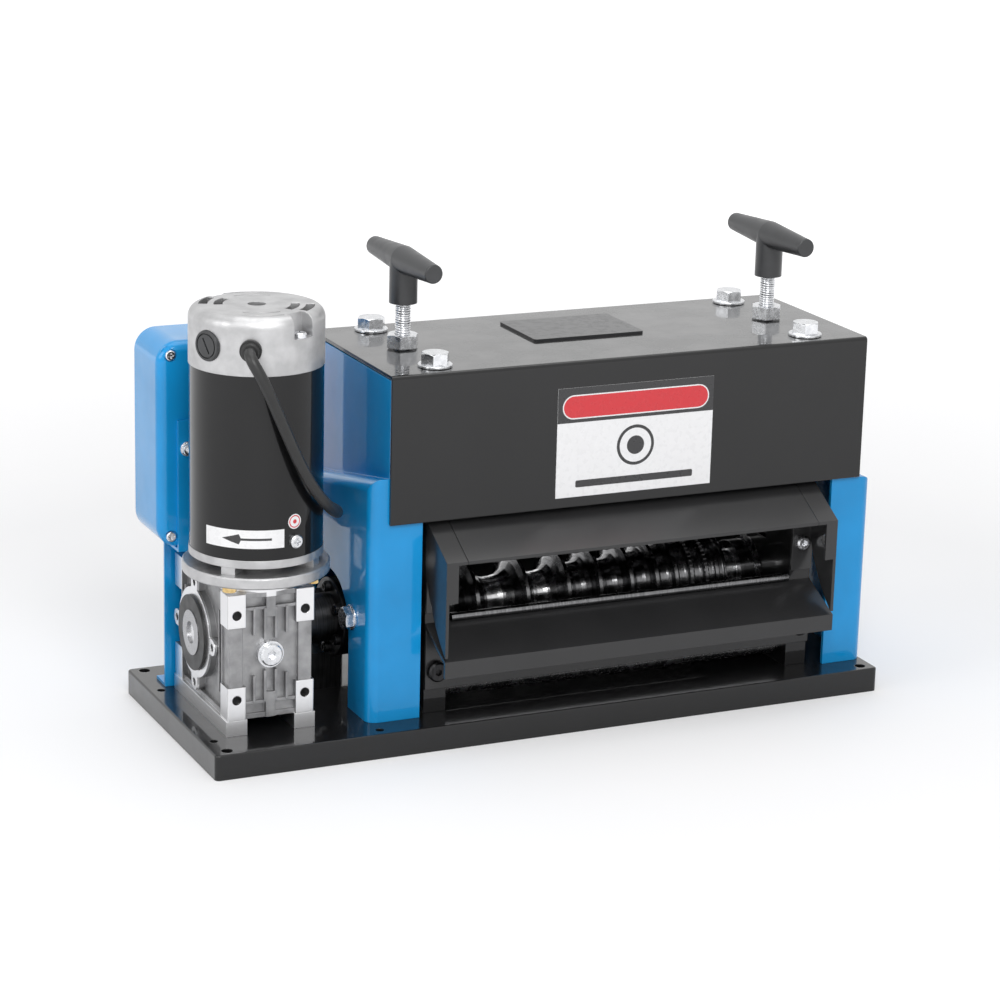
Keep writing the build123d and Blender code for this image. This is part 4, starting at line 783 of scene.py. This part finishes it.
def serration_tree():
    """Geometry Nodes that set blocks round a circle whose axis lies along X."""
    tree = bpy.data.node_groups.new("serration", "GeometryNodeTree")
    tree.interface.new_socket(name="Geometry", in_out="OUTPUT", socket_type="NodeSocketGeometry")
    tree_input(tree, "Count", "NodeSocketInt", 56)
    tree_input(tree, "Radius", "NodeSocketFloat", 28.2 * MM)
    tree_input(tree, "Tooth", "NodeSocketVector", (1.2 * MM, 1.4 * MM, 2.4 * MM))
    tree_input(tree, "Place", "NodeSocketVector", (0.0, 0.0, 0.0))
    tree_input(tree, "Finish", "NodeSocketMaterial", None)
    sizes = tree.nodes.new("NodeGroupInput")
    result = tree.nodes.new("NodeGroupOutput")
    circle = tree.nodes.new("GeometryNodeMeshCircle")
    tree.links.new(sizes.outputs["Count"], circle.inputs["Vertices"])
    tree.links.new(sizes.outputs["Radius"], circle.inputs["Radius"])
    tooth = tree.nodes.new("GeometryNodeMeshCube")
    tree.links.new(sizes.outputs["Tooth"], tooth.inputs["Size"])
    number = tree.nodes.new("GeometryNodeInputIndex")
    share = tree.nodes.new("ShaderNodeMath")
    share.operation = "DIVIDE"
    tree.links.new(number.outputs["Index"], share.inputs[0])
    tree.links.new(sizes.outputs["Count"], share.inputs[1])
    turn = tree.nodes.new("ShaderNodeMath")
    turn.operation = "MULTIPLY"
    turn.inputs[1].default_value = 2 * math.pi
    tree.links.new(share.outputs["Value"], turn.inputs[0])
    about_axis = tree.nodes.new("ShaderNodeCombineXYZ")
    tree.links.new(turn.outputs["Value"], about_axis.inputs["Z"])
    ring = tree.nodes.new("GeometryNodeInstanceOnPoints")
    tree.links.new(circle.outputs["Mesh"], ring.inputs["Points"])
    tree.links.new(tooth.outputs["Mesh"], ring.inputs["Instance"])
    tree.links.new(about_axis.outputs["Vector"], ring.inputs["Rotation"])
    place = tree.nodes.new("GeometryNodeTransform")
    place.inputs["Rotation"].default_value = (0.0, math.pi / 2, 0.0)
    tree.links.new(ring.outputs["Instances"], place.inputs["Geometry"])
    tree.links.new(sizes.outputs["Place"], place.inputs["Translation"])
    real = tree.nodes.new("GeometryNodeRealizeInstances")
    tree.links.new(place.outputs["Geometry"], real.inputs["Geometry"])
    paint = tree.nodes.new("GeometryNodeSetMaterial")
    tree.links.new(real.outputs["Geometry"], paint.inputs["Geometry"])
    tree.links.new(sizes.outputs["Finish"], paint.inputs["Material"])
    tree.links.new(paint.outputs["Geometry"], result.inputs["Geometry"])
    return tree


# %% The serrated lands
serration = serration_tree()
for name, land_x in (("outer", 120.5 * MM), ("inner", 131.3 * MM)):
    values = {"Place": (land_x, 0.0, drive_height), "Finish": roller_steel}
    teeth = grow(name + "_serration", serration, values)
    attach(teeth, "drive_roller")
    print(name, "serration has", len(teeth.data.polygons), "faces")

# %% [markdown]
# The lead is a cord with both ends on the machine. It stands in for the plain tube of the model,
# which is hidden, and it takes the rubber finish.

# %% The lead on the machine
lead.data.materials.append(rubber)
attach(lead, "machine")
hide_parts("motor_lead")

# %% [markdown]
# The floor and the light are those of a product photograph: a white sweep and large soft lamps. The
# floor is white enough to vanish and still takes a soft shadow. Glossy black paint has hardly any
# colour of its own, so what it shows is the white room, faintly at the front and strongly at the low
# angle of the hood's top. The floor and the room glow only for rays that are seen, from the camera or
# by way of a mirror or glass, so the glow adds no light to the machine.

# %% Rays that are seen


def seen_rays(tree):
    """One for rays from the camera, and for those that come by a mirror or through glass."""
    rays = tree.nodes.new("ShaderNodeLightPath")
    seen = ("Is Camera Ray", "Is Glossy Ray", "Is Transmission Ray")
    return any_of(tree, [rays.outputs[kind] for kind in seen])


# %% Floor
floor_reach = 12.0
floor_mesh = bpy.data.meshes.new("floor")
floor_shape = bmesh.new()
bmesh.ops.create_grid(floor_shape, x_segments=1, y_segments=1, size=floor_reach)
floor_shape.to_mesh(floor_mesh)
floor_shape.free()
floor = bpy.data.objects.new("floor", floor_mesh)
bpy.context.scene.collection.objects.link(floor)
floor_material, floor_tree, floor_shader = start_material("floor", (0.82, 0.82, 0.83), 0.6)
floor_shader.inputs["Emission Color"].default_value = (1.0, 1.0, 1.0, 1.0)
floor_shader.inputs["Specular IOR Level"].default_value = 0.2
floor_grain = between(floor_tree, noise(floor_tree, 0.4, 2.0), 0.55, 0.65)
floor_tree.links.new(floor_grain, floor_shader.inputs["Roughness"])

# %% [markdown]
# Near the machine the floor glows little, so the lamps light it and the shadow shows. Far away it glows
# to plain white, where the lamps don't reach and the floor would turn grey.

# %% The floor's glow
near_glow, far_glow = 0.12, 1.0
near_end, far_start = 0.5, 2.5
from_middle = floor_tree.nodes.new("ShaderNodeVectorMath")
from_middle.operation = "LENGTH"
floor_tree.links.new(object_coordinates(floor_tree), from_middle.inputs[0])
glow = between(floor_tree, from_middle.outputs["Value"], near_glow, far_glow, near_end, far_start)
floor_glow = floor_tree.nodes.new("ShaderNodeMath")
floor_glow.operation = "MULTIPLY"
floor_tree.links.new(glow, floor_glow.inputs[0])
floor_tree.links.new(seen_rays(floor_tree), floor_glow.inputs[1])
floor_tree.links.new(floor_glow.outputs["Value"], floor_shader.inputs["Emission Strength"])
floor_mesh.materials.append(floor_material)
print("floor reaches", floor_reach, "m each way")

# %% [markdown]
# Three square lamps light the machine: a strong one in front, a wide one above, and a weak one at the
# left. Large lamps give soft shadows. The world fills in from all round, and is white where it is seen.

# %% Lamps


def lamp(name, place, target, size, power):
    """A square area lamp that looks at a point."""
    light = bpy.data.lights.new(name, "AREA")
    light.shape = "SQUARE"
    light.size = size
    light.energy = power
    lamp_object = bpy.data.objects.new(name, light)
    lamp_object.location = place
    direction = Vector(target) - Vector(place)
    lamp_object.rotation_euler = direction.to_track_quat("-Z", "Y").to_euler()
    bpy.context.scene.collection.objects.link(lamp_object)
    return lamp_object


lamp("key_lamp", (-0.5, -1.9, 1.7), (0.0, 0.0, 0.12), 1.2, 33.0)
lamp("top_lamp", (0.1, 0.1, 2.2), (0.0, 0.0, 0.1), 1.6, 15.0)
lamp("left_lamp", (-2.0, -0.3, 1.1), (-0.1, 0.0, 0.12), 1.0, 10.0)

# %% World
world = bpy.data.worlds.new("studio")
bpy.context.scene.world = world
world.use_nodes = True
world_tree = world.node_tree
background = world_tree.nodes["Background"]
background.inputs["Color"].default_value = (1.0, 1.0, 1.0, 1.0)
fill_level, seen_level = 0.42, 1.0
room_level = between(world_tree, seen_rays(world_tree), fill_level, seen_level, 0.0, 1.0)
world_tree.links.new(room_level, background.inputs["Strength"])
bpy.context.scene.view_settings.view_transform = "Standard"
